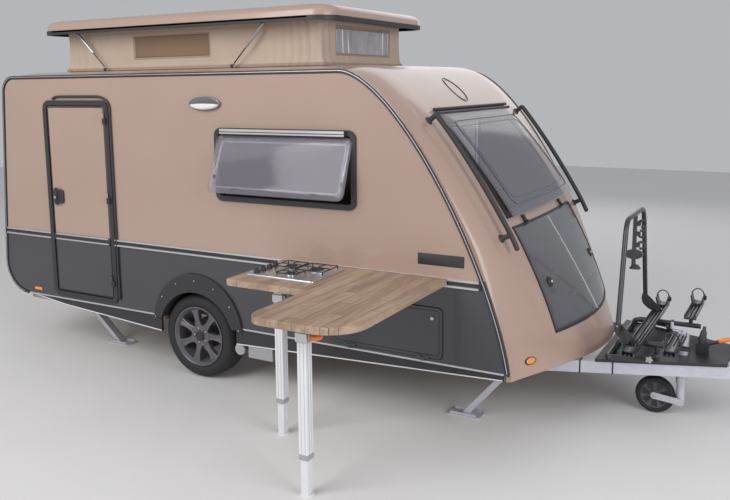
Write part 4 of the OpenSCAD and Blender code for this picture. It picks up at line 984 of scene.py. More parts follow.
def make_tent():
    count, levels = 620, 30
    walk, total = walked(tent_outline(0.003, 12), count)
    rows = []
    for level in range(levels + 1):
        share = level / levels
        z = TENT_LOW + (TENT_HIGH - TENT_LOW) * share
        row = []
        for x, y, (ox, oy), s in walk:
            corner = max(0.0, 1 - min(math.hypot(abs(x + 0.397) - 1.089, abs(y) - 0.518), 0.45) / 0.45)
            # Folds gather at the corners and along the foot, and the walls lean in at mid height
            sag = -0.013 * math.sin(math.pi * share) * (0.5 + 0.5 * (1 - corner))
            wave = s * 2 * math.pi / 0.074 + 1.5 * math.sin(9 * s) + 1.3 * share
            fold = 0.0105 * corner * math.sin(wave)
            low = 1 - soft_step(share, 0.0, 0.20)
            foot = low * (0.012 + 0.016 * corner * abs(math.sin(s * math.pi / 0.034 + 2.0 * share)))
            slow = 0.003 * math.sin(s * 7.3 + 4 * share) * math.sin(math.pi * share)
            out = sag + (fold + slow) * (1 - 0.5 * share) + foot - 0.004
            row.append(at(x + ox * out, y + oy * out, z))
        rows.append(row)
    flat = [p for row in rows for p in row]
    for kind, name, material in TENT_PARTS:
        faces = []
        for i in range(levels):
            for j in range(count):
                k = (j + 1) % count
                x = (walk[j][0] + walk[k][0]) / 2
                y = (walk[j][1] + walk[k][1]) / 2
                z = (rows[i][j].z + rows[i + 1][j].z) / 2 - AXLE.z
                if tent_window(x, y, z) == kind:
                    faces.append((i * count + j, i * count + k, (i + 1) * count + k, (i + 1) * count + j))
        used = sorted({v for f in faces for v in f})
        index = {v: n for n, v in enumerate(used)}
        faces = [tuple(index[v] for v in f) for f in faces]
        covers = ("tent",) if kind == "cloth" else ()
        made = piece(
            name, [flat[v] for v in used], faces, material, slot="tent_cloth", stands_for=covers, angle=80
        )
        solid = made.modifiers.new("thickness", "SOLIDIFY")
        solid.thickness = 0.0016
        solid.offset = 0
        apply_modifiers(made)
        at(0, 0, TENT_LOW)
        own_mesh(made)
        if kind == "cloth":
            # The two mesh windows and the clear one are cut out of the cloth
            height = TENT_HIGH - TENT_LOW
            area = total * height - 2 * 0.69 * 0.144 - 0.77 * 0.17


# Sides: edges, rails, windows, door, hatch and lamps


def side_edge(inset, lowest=0.4, count=70):
    """The body's edge seen from the side, from the front foot over the roof to the rear foot."""
    points = []
    for k in range(count, -1, -1):
        px, pz = nose_at(k / count)
        dx, dz = nose_way(k / count)
        length = math.hypot(dx, dz)
        points.append((px + inset * dz / length, pz - inset * dx / length))
    for cx, cz, r, first, last in (
        (TOP_X, TOP_Z, REAR_TOP_R, 90, 180 - math.degrees(REAR_LEAN)),
        (LOW_X, LOW_Z, REAR_LOW_R, 180 - math.degrees(REAR_LEAN), 270),
    ):
        for a in steps(math.radians(first), math.radians(last), 16):
            points.append((cx + (r - inset) * math.cos(a), cz + (r - inset) * math.sin(a)))
    return [p for p in points if p[1] > lowest]


def make_edges():
    line = Lump()
    seam = Lump()
    for side in (-1, 1):
        for lump, outer, inner, y0, y1 in (
            (line, 0.003, 0.0072, 1.0258, 1.0274),
            (seam, 0.0165, 0.0205, 1.0198, 1.0212),
        ):
            rows = [
                [at(p[0], side * y, p[1]) for p, y in ((a, y0), (a, y1), (b, y1), (b, y0))]
                for a, b in zip(side_edge(outer, 0.408), side_edge(inner, 0.408))
            ]
            lump.loft(rows)
    line.piece("edge_lines", "rail")
    seam.piece("edge_seams", "trim")


BELT = 0.900
BELT_H = 0.046
RAIL_RUNS = ((-1, -1.822, -1.3305), (-1, -0.6795, 1.994), (1, -1.822, 1.994))
SKIRT_RUNS = (((-1.632, 0.3995), (-1.243, 0.3525), (-0.300, 0.2895)), ((0.346, 0.2925), (2.130, 0.3645)))


def make_belt():
    dark = Lump()
    for side, x0, x1 in RAIL_RUNS:
        low, high = sorted((side * 1.0258, side * 1.0282))
        dark.box(at(x0, low, BELT - BELT_H + 0.013), at(x1, high, BELT - 0.013), 0.0006)
    for side in (-1, 1):
        low, high = sorted((side * 1.0202, side * 1.0352))
        for x in (-1.834, 1.994):
            dark.box(at(x, low, BELT - BELT_H - 0.001), at(x + 0.012, high, BELT + 0.001), 0.003)
    dark.piece("belt_inserts", "trim")
    # The rail's two bright lines carry on over the door
    bright = Lump()
    for z in (BELT - 0.010, BELT - BELT_H):
        bright.box(at(-1.285, -1.0352, z), at(-0.725, -1.0338, z + 0.010), 0.0005)
    bright.piece("door_belt_lines", "rail", "entry_door")
    insert = Lump()
    insert.box(at(-1.285, -1.0347, BELT - BELT_H + 0.010), at(-0.725, -1.0338, BELT - 0.010))
    for x in (-1.289, -0.741):
        insert.box(at(x, -1.0366, BELT - BELT_H - 0.002), at(x + 0.020, -1.0262, BELT + 0.002), 0.002)
    insert.piece("door_belt_insert", "trim", "entry_door")
    foot = Lump()
    for side in (-1, 1):
        low, high = sorted((side * 1.0119, side * 1.0132))
        for run in SKIRT_RUNS:
            for ends in zip(run, run[1:]):
                spots = [(x, y, z) for x, z in ends for y in (low, high)]
                foot.add([at(x, y, z + dz) for x, y, z in spots for dz in (0.0015, 0.0085)], BOX_FACES)
    foot.piece("skirt_lines", "white_metal")


# The side panes: their hinge line and outside, ends and height, and rows of inset and height of their form
PANE_TOP, PANE_Y = 1.651, 1.0223
PANE_X = (0.255, 1.228)
PANE_H = 0.372
PANE_FORM = (
    (0.010, -0.010), (0.002, -0.008), (0.0, -0.004), (0.0, 0.0),
    (0.004, 0.003), (0.016, 0.0045), (0.034, 0.009), (0.060, 0.010),
)
REAR_PANE_Z = 1.450


def make_side_panes():
    """Double panes with a moulded rim: hinged at the top of the frame, the door side's one stands open."""
    glass = Lump()
    border = Lump()
    fittings = Lump()
    bright, groove = Lump(), Lump()
    width = PANE_X[1] - PANE_X[0]
    for side, tilt in ((-1, math.radians(20)), (1, 0.0)):
        # In the pane's own frame, u runs along x, v down and w outwards
        def on(u, v, w, side=side, tilt=tilt):
            y = PANE_Y + w * math.cos(tilt) + v * math.sin(tilt)
            return at(PANE_X[0] + u, side * y, PANE_TOP - v * math.cos(tilt) + w * math.sin(tilt))

        rings = []
        for inset, w in PANE_FORM:
            outline = inset_box((0, 0, width, PANE_H), inset, max(0.04 - inset / 2, 0.012), 6)
            rings.append([on(u, v, w) for u, v in outline])
        glass.loft(rings)
        rings = []
        for inset, w in ((0.036, -0.0113), (0.036, -0.0102), (0.046, -0.0102), (0.046, -0.0113)):
            outline = inset_box((0, 0, width, PANE_H), inset, 0.02, 5)
            rings.append([on(u, v, w) for u, v in outline])
        border.grid(rings, closed_rows=True, closed_cols=True)
        if tilt:
            # Two friction stays, with their brackets on the pane, and two latches along its foot
            for u in (0.030, width - 0.030):
                foot = on(u, 0.270, -0.012)
                top = at(PANE_X[0] + u, side * 1.012, 1.610)
                bright.tube([top, top.lerp(foot, 0.80)], 0.0062, 10)
                bright.tube([top.lerp(foot, 0.70), foot], 0.0035, 10)
                fittings.block(foot, (0.011, 0.006, 0.014), 0.003)
                fittings.block(top, (0.010, 0.007, 0.012), 0.003)
            for u in (0.20, width - 0.20):
                spot = on(u, PANE_H - 0.030, -0.016)
                fittings.block(spot, (0.030, 0.006, 0.009), 0.003)
                knob = spot - Vector((0, 0.005, 0))
                fittings.block(knob, (0.008, 0.007, 0.007), 0.002)
        rail_low = PANE_TOP + (0.0038 if side < 0 else 0.0003)
        y0, y1 = sorted((side * 1.0549, side * 1.0562))
        bright.box(at(PANE_X[0] + 0.041, y0, rail_low + 0.003), at(PANE_X[1] - 0.041, y1, 1.6885), 0.0005)
        y0, y1 = sorted((side * 1.0560, side * 1.0564))
        groove.box(at(PANE_X[0] + 0.041, y0, rail_low + 0.013), at(PANE_X[1] - 0.041, y1, rail_low + 0.018))

    def rear(u, v, w):
        x = rear_line(REAR_PANE_Z) - w
        return at(x + v * math.sin(REAR_LEAN), u, REAR_PANE_Z + v * math.cos(REAR_LEAN))

    rings = []
    for inset, w in ((0.020, 0.0124), (0.021, 0.022), (0.028, 0.027), (0.052, 0.031), (0.09, 0.032)):
        outline = inset_box((-0.5, -0.21, 0.5, 0.21), inset, 0.04, 6)
        rings.append([rear(u, v, w) for u, v in outline])
    glass.loft(rings)
    glass.piece("side_pane_glass", "panes", stands_for=("window_panes",), angle=50)
    border.piece("side_pane_borders", "pane_line", slot="panes")
    groove.piece("side_pane_rail_grooves", "trim")
    fittings.piece("side_pane_fittings", "trim")
    bright.piece("side_pane_rails", "rail")


# Door handle, and its two plates: middle, half width and height, corner, and rows of share and face
HANDLE_X, HANDLE_Z = -1.229, 1.173
HANDLE_PLATES = (
    (-1.214, 0.049, 0.050, 0.022, ((1.0, -1.0255), (1.0, -1.0370), (0.96, -1.0392), (0.88, -1.0396))),
    (-1.230, 0.026, 0.059, 0.018, ((1.06, -1.0378), (1.06, -1.040), (1.0, -1.0425), (0.8, -1.043))),
)


def make_side_fittings():
    # Rubber seals round the hatch and the door leaf
    seals = Lump()
    outline = round_outline(1.0755, 0.4305, 1.7875, 0.7275, 0.031, 6)
    seals.tube([at(x, -1.0202, z) for x, z in outline], 0.0028, 6, closed=True)
    outline = round_outline(-1.326, 0.432, -0.684, 1.858, 0.060, 8)
    seals.tube([at(x, -1.0205, z) for x, z in outline], 0.0035, 6, closed=True)
    hood = [(-1.222, 1.872), (-1.190, 1.888), (-0.745, 1.888), (-0.664, 1.850), (-0.664, 0.470)]
    seals.tube(bent([at(x, -1.0285, z) for x, z in hood], 0.05), 0.0088, 10)
    seals.piece("side_seals", "trim")
    leaf = Lump()
    outline = round_outline(-1.281, 0.477, -0.729, 1.813, 0.02, 8)
    leaf.tube([at(x, -1.0262, z) for x, z in outline], 0.003, 6, closed=True)
    # The door handle's square plate, with the grip on its own raised plate
    for middle_x, half_x, half_z, radius, form in HANDLE_PLATES:
        outline = round_outline(-half_x, -half_z, half_x, half_z, radius, 6)
        rings = [[at(middle_x + x * k, y, HANDLE_Z + z * k) for x, z in outline] for k, y in form]
        leaf.loft(rings)
    grip = (0.009, 0.0118, 0.0122, 0.0122, 0.0122, 0.0118, 0.009)
    leaf.tube([at(HANDLE_X, -1.046, z) for z in steps(HANDLE_Z - 0.045, HANDLE_Z + 0.044, 6)], grip, 14)
    leaf.piece("door_leaf_trim", "trim", "entry_door")
    lock = Lump()
    form = [(0.0, 0.0), (0.0095, 0.0), (0.0095, 0.0035), (0.008, 0.0048), (0, 0.0048)]
    lock.lathe(form, at(HANDLE_X, -1.0575, HANDLE_Z - 0.004), (0, -1, 0), 24)
    lock.piece("door_lock", "rail", "entry_door")
    hatch = Lump()
    outline = round_outline(1.0955, 0.4505, 1.7675, 0.7075, 0.014, 5)
    hatch.tube([at(x, -1.0262, z) for x, z in outline], 0.0022, 6, closed=True)
    hatch.piece("hatch_line", "trim", "service_hatch")
    bright = Lump()
    form = [(0, 0), (0.0105, 0), (0.0105, 0.0012), (0.009, 0.0022), (0, 0.0022)]
    bright.lathe(form, at(1.725, -1.0310, 0.665), (0, -1, 0), 24)
    bright.piece("hatch_lock", "rail", "service_hatch")

    # Bare dark plate by the front edge
    plate = Lump()
    outline = round_outline(1.634, 0.965, 1.907, 1.029, 0.005, 4)
    mx, mz = 1.7705, 0.997
    rings = [
        [at(mx + (x - mx) * k, y, mz + (z - mz) * j) for x, z in outline]
        for k, j, y in ((1.0, 1.0, -1.0202), (1.0, 1.0, -1.0222), (0.99, 0.97, -1.0228))
    ]
    plate.loft(rings)
    plate.piece("side_plate", "trim")

    # Awning lamp: a rim and a clear dome
    lamp = Lump()
    cx, cz, a, b = 0.1665, 1.8405, 0.1245, 0.0455
    oval = [(math.cos(t), math.sin(t)) for t in turns(48)]
    rings = [
        [at(cx + a * k * u, y, cz + (b - (a - a * k)) * v) for u, v in oval]
        for k, y in ((1, -1.0203), (1, -1.030), (0.985, -1.0345), (0.93, -1.0355), (0.90, -1.033))
    ]
    lamp.loft(rings)
    lamp.piece("awning_lamp_rim", "lamp_shade", slot="lamp", stands_for=("side_lamps",))
    dome = Lump()
    form = ((1, -1.0335), (0.99, -1.042), (0.93, -1.0490), (0.8, -1.0545), (0.6, -1.0582), (0.3, -1.0599))
    flattened = [(u, v if v < 0 else 0.3 * v) for u, v in oval]
    rings = [[at(cx + 0.111 * k * u, y, cz - 0.006 + 0.031 * k * v) for u, v in flattened] for k, y in form]
    dome.loft(rings)
    dome.piece("awning_lamp_dome", "lamp_clear", slot="lamp")
    screw = Lump().turned([(0, 0), (0.0052, 0), (0.0052, 0.0003), (0.0036, 0.0007), (0, 0.0007)], 12)
    for side, name in ((-1, "right"), (1, "left")):
        seat = Matrix(((-side, 0, 0, 0), (0, 0, side, 0), (0, 1, 0, 0), (0, 0, 0, 1)))
        seat.translation = at(0.027, side * 1.0371, 0.3215)
        sizes = {"Count": 7, "Radius": 0.363, "First": math.radians(12), "Turn": math.radians(26)}
        repeated("arch_screws_" + name, ROUND, screw, sizes, "steel", seat)

    markers = Lump()
    for side in (-1, 1):
        y0, y1 = sorted((side * 1.0203, side * 1.029))
        markers.box(at(-1.555, y0, 0.440), at(-1.475, y1, 0.462), 0.003)
    markers.piece("side_markers", "lamp")


# Rear lamps: the height of each lens' middle over the cluster's own, half its height, and its finish
CLUSTER_Y, CLUSTER_Z, CLUSTER_HALF = 0.880, 0.700, (0.055, 0.210)
CLUSTER = ((0.137, 0.063, "lamp"), (-0.010, 0.078, "lamp_red"), (-0.150, 0.054, "lamp_clear"))
LENS_FORM = ((0.0, 0.010), (0.0, 0.024), (0.002, 0.0285), (0.006, 0.0315), (0.014, 0.0335))
HIGH_LAMP_Z, HIGH_LAMP_HALF = 1.890, (0.160, 0.014)


def behind(middle, u, v, w):
    """A point of the rear wall: u across it, v up it from a height, and w out of it."""
    x, z = rear_line(middle) + v * math.sin(REAR_LEAN), middle + v * math.cos(REAR_LEAN)
    return at(x - w * math.cos(REAR_LEAN), u, z + w * math.sin(REAR_LEAN))


def lens_on(lump, middle, u, v, half, form, radius):
    """A rounded plate or lens on the rear wall, from rows of inset and height."""
    rings = []
    for inset, w in form:
        a, b = half[0] - inset, half[1] - inset
        outline = round_outline(u - a, v - b, u + a, v + b, max(radius - inset / 2, 0.002), 5)
        rings.append([behind(middle, p, q, w) for p, q in outline])
    lump.loft(rings)


def make_rear_lamps():
    """A cluster of three lenses in a dark housing on either side, and a long red lamp at the top."""
    housing = Lump()
    lenses = {name: Lump() for name in ("lamp", "lamp_red", "lamp_clear")}
    shallow = ((0.0, 0.0004), (0.0, 0.014), (0.003, 0.016))
    for side in (-1, 1):
        lens_on(housing, CLUSTER_Z, side * CLUSTER_Y, 0.0, CLUSTER_HALF, shallow, 0.018)
        for v, tall, name in CLUSTER:
            size = (CLUSTER_HALF[0] - 0.008, tall)
            lens_on(lenses[name], CLUSTER_Z, side * CLUSTER_Y, v, size, LENS_FORM, 0.012)
    flat = tuple((inset, w * 0.62) for inset, w in LENS_FORM)
    base = ((0.0, 0.0004), (0.0, 0.008), (0.001, 0.009))
    lens_on(housing, HIGH_LAMP_Z, 0.0, 0.0, HIGH_LAMP_HALF, base, 0.006)
    slim = tuple(half - 0.003 for half in HIGH_LAMP_HALF)
    lens_on(lenses["lamp_red"], HIGH_LAMP_Z, 0.0, 0.0, slim, [(min(i, 0.008), w) for i, w in flat], 0.005)
    housing.piece("rear_lamp_housings", "trim", stands_for=("rear_lamps",))
    for name, lump in lenses.items():
        lump.piece("rear_lenses_" + name, name, slot="lamp")


# Wheels


TYRE_W = 0.195
# Rows of radius and distance from the tyre's inner face, up to its middle
TYRE_FORM = (
    (0.2062, 0.0160), (0.2105, 0.0080), (0.2190, 0.0022), (0.2400, 0.0004), (0.2600, 0.0040),
    (0.2720, 0.0120), (0.2790, 0.0230), (0.2850, 0.0330), (0.2868, 0.0450), (0.2873, 0.0560),
    (0.2806, 0.0575), (0.2806, 0.0625), (0.2875, 0.0640), (0.2880, 0.0975),
)
FACE = TYRE_W - 0.022
# Rows of radius, half width and rise of a spoke
SPOKE_FORM = (
    (0.052, 0.0245, -0.002), (0.072, 0.0235, 0.000), (0.110, 0.0178, 0.003), (0.150, 0.0222, 0.005),
    (0.1805, 0.0310, 0.005),
)
RIM_LIP = (
    (0.2035, 0.0165), (0.2040, 0.0175), (0.1990, 0.0190), (0.1930, 0.0150),
    (0.1860, 0.0040), (0.1815, -0.010), (0.1830, -0.010), (0.1880, 0.0020),
)
CAP_FORM = (
    (0, -0.004), (0.031, -0.004), (0.0325, 0.0060), (0.0300, 0.0095), (0.0240, 0.0102), (0.0225, 0.0088),
    (0.0, 0.0092),
)
BOLT_FORM = (
    (0, 0), (0.0125, 0), (0.0125, 0.004), (0.0092, 0.005), (0.0092, 0.013), (0.0075, 0.0152), (0, 0.0152),
)


def wheel_seat(side):
    """From a wheel's own frame, with z out along the axle from the tyre's inner face, to the part's."""
    turn = Matrix.Rotation(math.radians(-90 if side > 0 else 90), 4, "X")
    return Matrix.Translation(at(0, side * (0.990 - TYRE_W), 0.288)) @ turn


def make_wheel(side, name):
    body = "wheel_" + name
    seat = wheel_seat(side)
    form = list(TYRE_FORM) + [(r, TYRE_W - h) for r, h in reversed(TYRE_FORM[:-1])]
    form += [(0.1915, TYRE_W - 0.0165), (0.1915, 0.0165)]
    rows = [[(r * math.cos(a), r * math.sin(a), h) for a in turns(46)] for r, h in form]
    tyre = Lump().grid(rows, closed_rows=True, closed_cols=True).moved(seat)
    tyre.piece("tyre_rubber_" + name, "tyre_rubber", body, stands_for=("tyre_" + name,), angle=32)

    # The rim's dark spokes with a raised edge, its bolts, its lip and its plain cap
    rows = []
    for r, half, rise in SPOKE_FORM:
        z = FACE - 0.0075 + rise
        left = [(-half, 0.026), (-half, 0.003), (-half + 0.004, 0), (-0.004, 0.0015)]
        section = left + [(0, 0.004)] + [(-y, deep) for y, deep in reversed(left)]
        rows.append([(r, y, z - deep) for y, deep in section])
    sizes = {"Count": 7, "Radius": 0.0, "First": 0.0, "Turn": 2 * math.pi / 7}
    repeated("spokes_" + name, ROUND, Lump().loft(rows), sizes, "rim_metal", seat, body, angle=35)
    bolt = Lump().lathe(BOLT_FORM, (0, 0, FACE - 0.022), (0, 0, 1), 6)
    sizes = {"Count": 5, "Radius": 0.050, "First": 0.63, "Turn": 2 * math.pi / 5}
    repeated("wheel_bolts_" + name, ROUND, bolt, sizes, "steel", seat, body, angle=30)
    lip = Lump().turned([(r, FACE + h) for r, h in RIM_LIP], 96).moved(seat)
    lip.piece("rim_lip_" + name, "rim_metal", body)
    cap = Lump().turned([(r, FACE + h) for r, h in CAP_FORM], 40).moved(seat)
    cap.piece("wheel_cap_" + name, "trim", body)
    path = [(0.176, 0, FACE - 0.004), (0.166, 0, FACE + 0.004), (0.160, 0, FACE + 0.012)]
    valve = Lump().tube(path, [0.005, 0.004, 0.0045], 10)
    valve.moved(Matrix.Rotation(0.65, 4, "Z")).moved(seat)
    valve.piece("valve_" + name, "trim", body)


# Table, hob and legs

TABLE_Z, TABLE_T = 0.900, 0.036
# How far the two boards reach out from the side wall, at y -1.020
WALL_Y, LONG_REACH, SHORT_REACH = -1.020, 1.115, 0.580
LEGS = ((1.000, -1.451), (1.495, -1.978))


def table_outline():
    edge = -1.0343
    points = [(0.735, edge), (1.812, edge)]

    def arc(cx, cy, r, a0, a1, n=12):
        angles = [math.radians(a) for a in steps(a0, a1, n)]
        return [(cx + r * math.cos(a), cy + r * math.sin(a)) for a in angles]

    far, near = WALL_Y - LONG_REACH, WALL_Y - SHORT_REACH
    points += arc(1.612, far + 0.200, 0.200, 0, -90)
    points += arc(1.265 + 0.090, far + 0.090, 0.090, -90, -180)
    points += [(1.265, near)]
    points += arc(0.735 + 0.024, near + 0.024, 0.024, -90, -180)
    return points


def grow_outline(points, by):
    """Moves a closed outline out along its own normals."""
    moved = []
    n = len(points)
    area = sum(a[0] * b[1] - b[0] * a[1] for a, b in zip(points, points[1:] + points[:1]))
    sign = 1 if area > 0 else -1
    for k, p in enumerate(points):
        a, b = points[k - 1], points[(k + 1) % n]
        ways = []
        for q, r in ((a, p), (p, b)):
            length = math.dist(q, r) or 1
            ways.append(((r[1] - q[1]) / length, -(r[0] - q[0]) / length))
        mx, my = ways[0][0] + ways[1][0], ways[0][1] + ways[1][1]
        size = math.hypot(mx, my) or 1
        stretch = by * sign / max(0.35, size / 2)
        moved.append((p[0] + mx / size * stretch, p[1] + my / size * stretch))
    return moved


def make_table():
    top = Lump()
    outline = table_outline()
    form = ((-0.0025, 0.0), (0.0, -0.0025), (0.0, -0.0335), (-0.0025, -0.036))
    rings = [[at(x, y, TABLE_Z + h) for x, y in grow_outline(outline, inset)] for inset, h in form]
    top.loft(rings)
    top.piece("table_boards", "oak", stands_for=("table_top",), angle=30)
    # The dark grooves where the flap and the extension meet the main leaf
    joints = Lump()
    joints.box(at(1.2635, -1.5995, TABLE_Z - 0.0004), at(1.2665, -1.0345, TABLE_Z + 0.0004))
    joints.box(at(0.7352, -1.0425, TABLE_Z - 0.0005), at(1.8118, -1.0392, TABLE_Z + 0.0004))
    joints.piece("table_grooves", "trim")
    orange, dark, collar = Lump(), Lump(), Lump()
    low = TABLE_Z - TABLE_T - 0.0003
    for x, y in LEGS:
        # Clamp collar with its lever, and the folding hinge under the top
        collar.box(at(x - 0.0315, y - 0.0315, low - 0.096), at(x + 0.0315, y + 0.0315, low - 0.046), 0.004)
        collar.box(at(x - 0.034, y - 0.012, low - 0.088), at(x + 0.034, y + 0.012, low - 0.054), 0.003)
        # The lower clamp block and the hinge plate under the top are white metal painted darker in
        # white_shadow: painted shade
        dark.box(at(x - 0.0275, y - 0.0275, 0.185), at(x + 0.0275, y + 0.0275, 0.214), 0.003)
        dark.box(at(x - 0.062, y - 0.062, low - 0.0065), at(x + 0.062, y + 0.062, low - 0.0005), 0.001)
    orange.box(at(1.5285, -1.990, low - 0.084), at(1.566, -1.966, low - 0.060), 0.005)
    lever = [at(x, LEGS[1][1], low - deep) for x, deep in ((1.560, 0.072), (1.578, 0.064), (1.592, 0.062))]
    orange.tube(lever, [0.012, 0.0125, 0.009], 12)
    dark.piece("table_leg_clamps", "white_shadow", slot="white_metal")
    collar.piece("table_leg_collars", "steel")
    orange.piece("table_leg_levers", "orange", slot="trim")
    # The grooves up the legs are white metal painted darker in white_shadow: painted shade in the grooves
    grooves = Lump()
    for x, y in LEGS:
        for s in (-1, 1):
            for d in (-0.010, 0.010):
                face = s * 0.0250
                for u, v, wide, deep in ((x + d, y + face, 0.001, 0.0003), (x + face, y + d, 0.0003, 0.001)):
                    grooves.box(at(u - wide, v - deep, 0.22), at(u + wide, v + deep, 0.77))
    grooves.piece("table_leg_grooves", "white_shadow", slot="white_metal")


HOB = (0.772, -1.462)
# Burners: place from the hob's corner, and radius. Their ring and cap are rows of share of it and height
BURNERS = ((0.150, 0.250, 0.062), (0.330, 0.240, 0.078), (0.250, 0.090, 0.050))
BURNER_RING = ((0.62, 0), (0.62, 0.008), (0.52, 0.012), (0.5, 0.012), (0.5, 0.0))
BURNER_CAP = ((0, 0.011), (0.52, 0.011), (0.54, 0.013), (0.5, 0.0165), (0.3, 0.018), (0, 0.018))


def make_hob():
    x0, y0 = HOB
    z = TABLE_Z + 0.0003
    tray = Lump()
    form = ((0.000, 0.000), (0.000, 0.006), (0.003, 0.009), (0.010, 0.0095), (0.016, 0.006), (0.030, 0.0045))
    box = (x0, y0, x0 + 0.446, y0 + 0.354)
    rings = [[at(x, y, z + h) for x, y in inset_box(box, i, max(0.016 - i, 0.006), 5)] for i, h in form]
    tray.loft(rings)
    tray.piece("hob_tray", "steel", stands_for=("hob",), angle=50)
    dark = Lump()
    bright = Lump()
    for bx, by, r in BURNERS:
        centre = at(x0 + bx, y0 + by, z + 0.0045)
        for lump, form in ((bright, BURNER_RING), (dark, BURNER_CAP)):
            lump.lathe([(r * share, h) for share, h in form], centre, (0, 0, 1), 32)
    dark.piece("hob_burner_caps", "cast_iron", slot="black_steel")
    bright.piece("hob_burner_rings", "rail")
    grate = Lump()
    level = 0.0265
    for bx, by, r in BURNERS:
        cx, cy = x0 + bx, y0 + by
        reach = r + 0.012
        corners = round_outline(cx - reach, cy - reach, cx + reach, cy + reach, 0.014, 4)
        grate.tube([at(x, y, z + level) for x, y in corners], 0.0032, 8, closed=True)
        for dx, dy in ((1, 0), (-1, 0), (0, 1), (0, -1)):
            ends = ((reach + 0.0015, level), (0.018, level + 0.001))
            grate.tube([at(cx + dx * out, cy + dy * out, z + h) for out, h in ends], 0.0032, 8)
            foot = (cx + (dx - dy) * (reach - 0.006), cy + (dy + dx) * (reach - 0.006))
            grate.tube([at(*foot, z + h) for h in (0.007, level)], 0.0032, 8)
    grate.piece("hob_grates", "cast_iron", slot="black_steel")
    form = (
        (0, 0.0), (0.020, 0.0), (0.020, 0.003), (0.0165, 0.0045),
        (0.0155, 0.018), (0.0140, 0.0205), (0, 0.0210),
    )
    knob = Lump().turned(form, 28)
    knob.box((-0.003, -0.0155, 0.010), (0.003, 0.0155, 0.0235), 0.001)
    seat = Matrix.Translation(at(x0 + 0.038, y0 + 0.060, z + 0.0045))
    sizes = {"Count": 4, "Step": (0, 0.062, 0)}
    repeated("hob_knobs", ROW, knob, sizes, "cast_iron", seat)


def make_rails():
    """Grab rails either side of the front window, each one bent tube on two posts."""
    rail = Lump()
    for side in (-1, 1):
        y = side * 0.772
        zs = [1.728, 1.726, 1.721] + steps(1.712, 1.016, 32) + [1.008, 1.004, 1.002]
        ends = [0.005, 0.010, 0.0135]
        rail.tube([skin(nose_share(z), y, 0.060) for z in zs], ends + [0.0145] * 33 + ends[::-1], 14)
        for z in (1.722, 1.084):
            t = nose_share(z)
            post = [skin(t, y, off) for off in (0.0006, 0.006, 0.012, 0.060)]
            rail.tube(post, [0.025, 0.024, 0.0155, 0.0140], 14)
    rail.piece("grab_rails_bent", "trim", stands_for=("grab_rails",))


def skin_oval(z, y, half_y, half_z, layers, sides=28):
    """Rings round a point of the front, each a share of the oval's size and an offset."""
    rings = []
    for share, off in layers:
        ring = []
        for a in turns(sides):
            t = nose_share(z + half_z * share * math.sin(a))
            ring.append(skin(t, y + half_y * share * math.cos(a), off))
        rings.append(ring)
    return rings


def make_front_marks():
    rim, lens, badge = Lump(), Lump(), Lump()
    for side in (-1, 1):
        for lump, form in (
            (rim, ((1, -0.001), (1, 0.004), (0.94, 0.007), (0.86, 0.006), (0.84, 0.002))),
            (lens, ((0.83, 0.0021), (0.82, 0.0060), (0.6, 0.0088), (0.2, 0.0098))),
        ):
            lump.loft(skin_oval(0.441, side * 0.840, 0.040, 0.021, form))
    rim.piece("front_marker_rims", "trim")
    lens.piece("front_marker_lenses", "lamp", stands_for=("front_markers",))
    for half_y, half_z, radius in ((0.084, 0.072, 0.0022), (0.074, 0.063, 0.0012)):
        badge.tube(skin_oval(1.885, 0.0, half_y, half_z, ((1, 0.0012),), 48)[0], radius, 8, closed=True)
    badge.piece("front_badge_ring", "trim")


STRUTS = {"rear": (-1.365, -1.090), "front": (0.347, 0.087)}
STRUT_TOP, STRUT_FOOT, STRUT_Y = 2.350, 2.085, 0.625
STRUT_TUBE = (
    (0.0057, 0.0119), (0.0090, 0.0119), (0.0090, 0.196), (0.0080, 0.199),
    (0.0080, 0.208), (0.0072, 0.212), (0.0057, 0.212),
)


def make_struts():
    """Gas struts under the lid: a bright tube with its collar, a dark rod and ball eyes."""
    for name, (lid_x, roof_x) in STRUTS.items():
        tubes, rods, balls = Lump(), Lump(), Lump()
        for side in (-1, 1):
            top, eye = at(lid_x, side * STRUT_Y, STRUT_TOP), at(roof_x, side * STRUT_Y, STRUT_FOOT)
            way = (eye - top).normalized()
            end = [(0, -0.004), (0.0086, -0.003), (0.0090, 0.0), (0.0090, 0.0118), (0, 0.0118)]
            tubes.lathe(end, top, way, 20)
            tubes.lathe(STRUT_TUBE, top, way, 20)
            tubes.lathe([(0, -0.0126), (0.004, -0.0124), (0.004, 0.0124), (0, 0.0126)], top, (0, 1, 0), 14)
            rods.tube([top + 0.150 * way, eye - 0.002 * way], 0.0044, 12)
            ball = [(0.0074 * math.sin(a), -0.0074 * math.cos(a)) for a in steps(0, math.pi, 10)]
            balls.lathe(ball, eye, (0, 1, 0), 18)
            neck = [(0, -0.016), (0.0058, -0.016), (0.0064, -0.012), (0.0064, -0.005), (0, -0.005)]
            balls.lathe(neck, eye, way, 14)
        tubes.piece("strut_tube_" + name, "steel", name + "_strut_tubes", stands_for=("strut_tubes_" + name,))
        covers = ("strut_rods_" + name,)
        rods.piece("strut_rod_" + name, "black_steel", name + "_strut_rods", stands_for=covers)
        balls.piece("strut_balls_" + name, "rail", name + "_strut_rods")


CUSHIONS = {
    "rear": (-1.768, -0.980, -1.404, 0.980),
    "bench": (0.426, -0.980, 1.494, -0.568),
    "corner": (1.206, 0.568, 1.492, 0.978),
}
# Rows of inset and height over the seat
CUSHION_FORM = (
    (0.030, 0.001), (0.008, 0.006), (0.001, 0.022), (0.004, 0.052), (0.001, 0.082),
    (0.007, 0.098), (0.022, 0.1045), (0.060, 0.1085), (0.110, 0.1098),
)
SEAT_Z = 0.8303


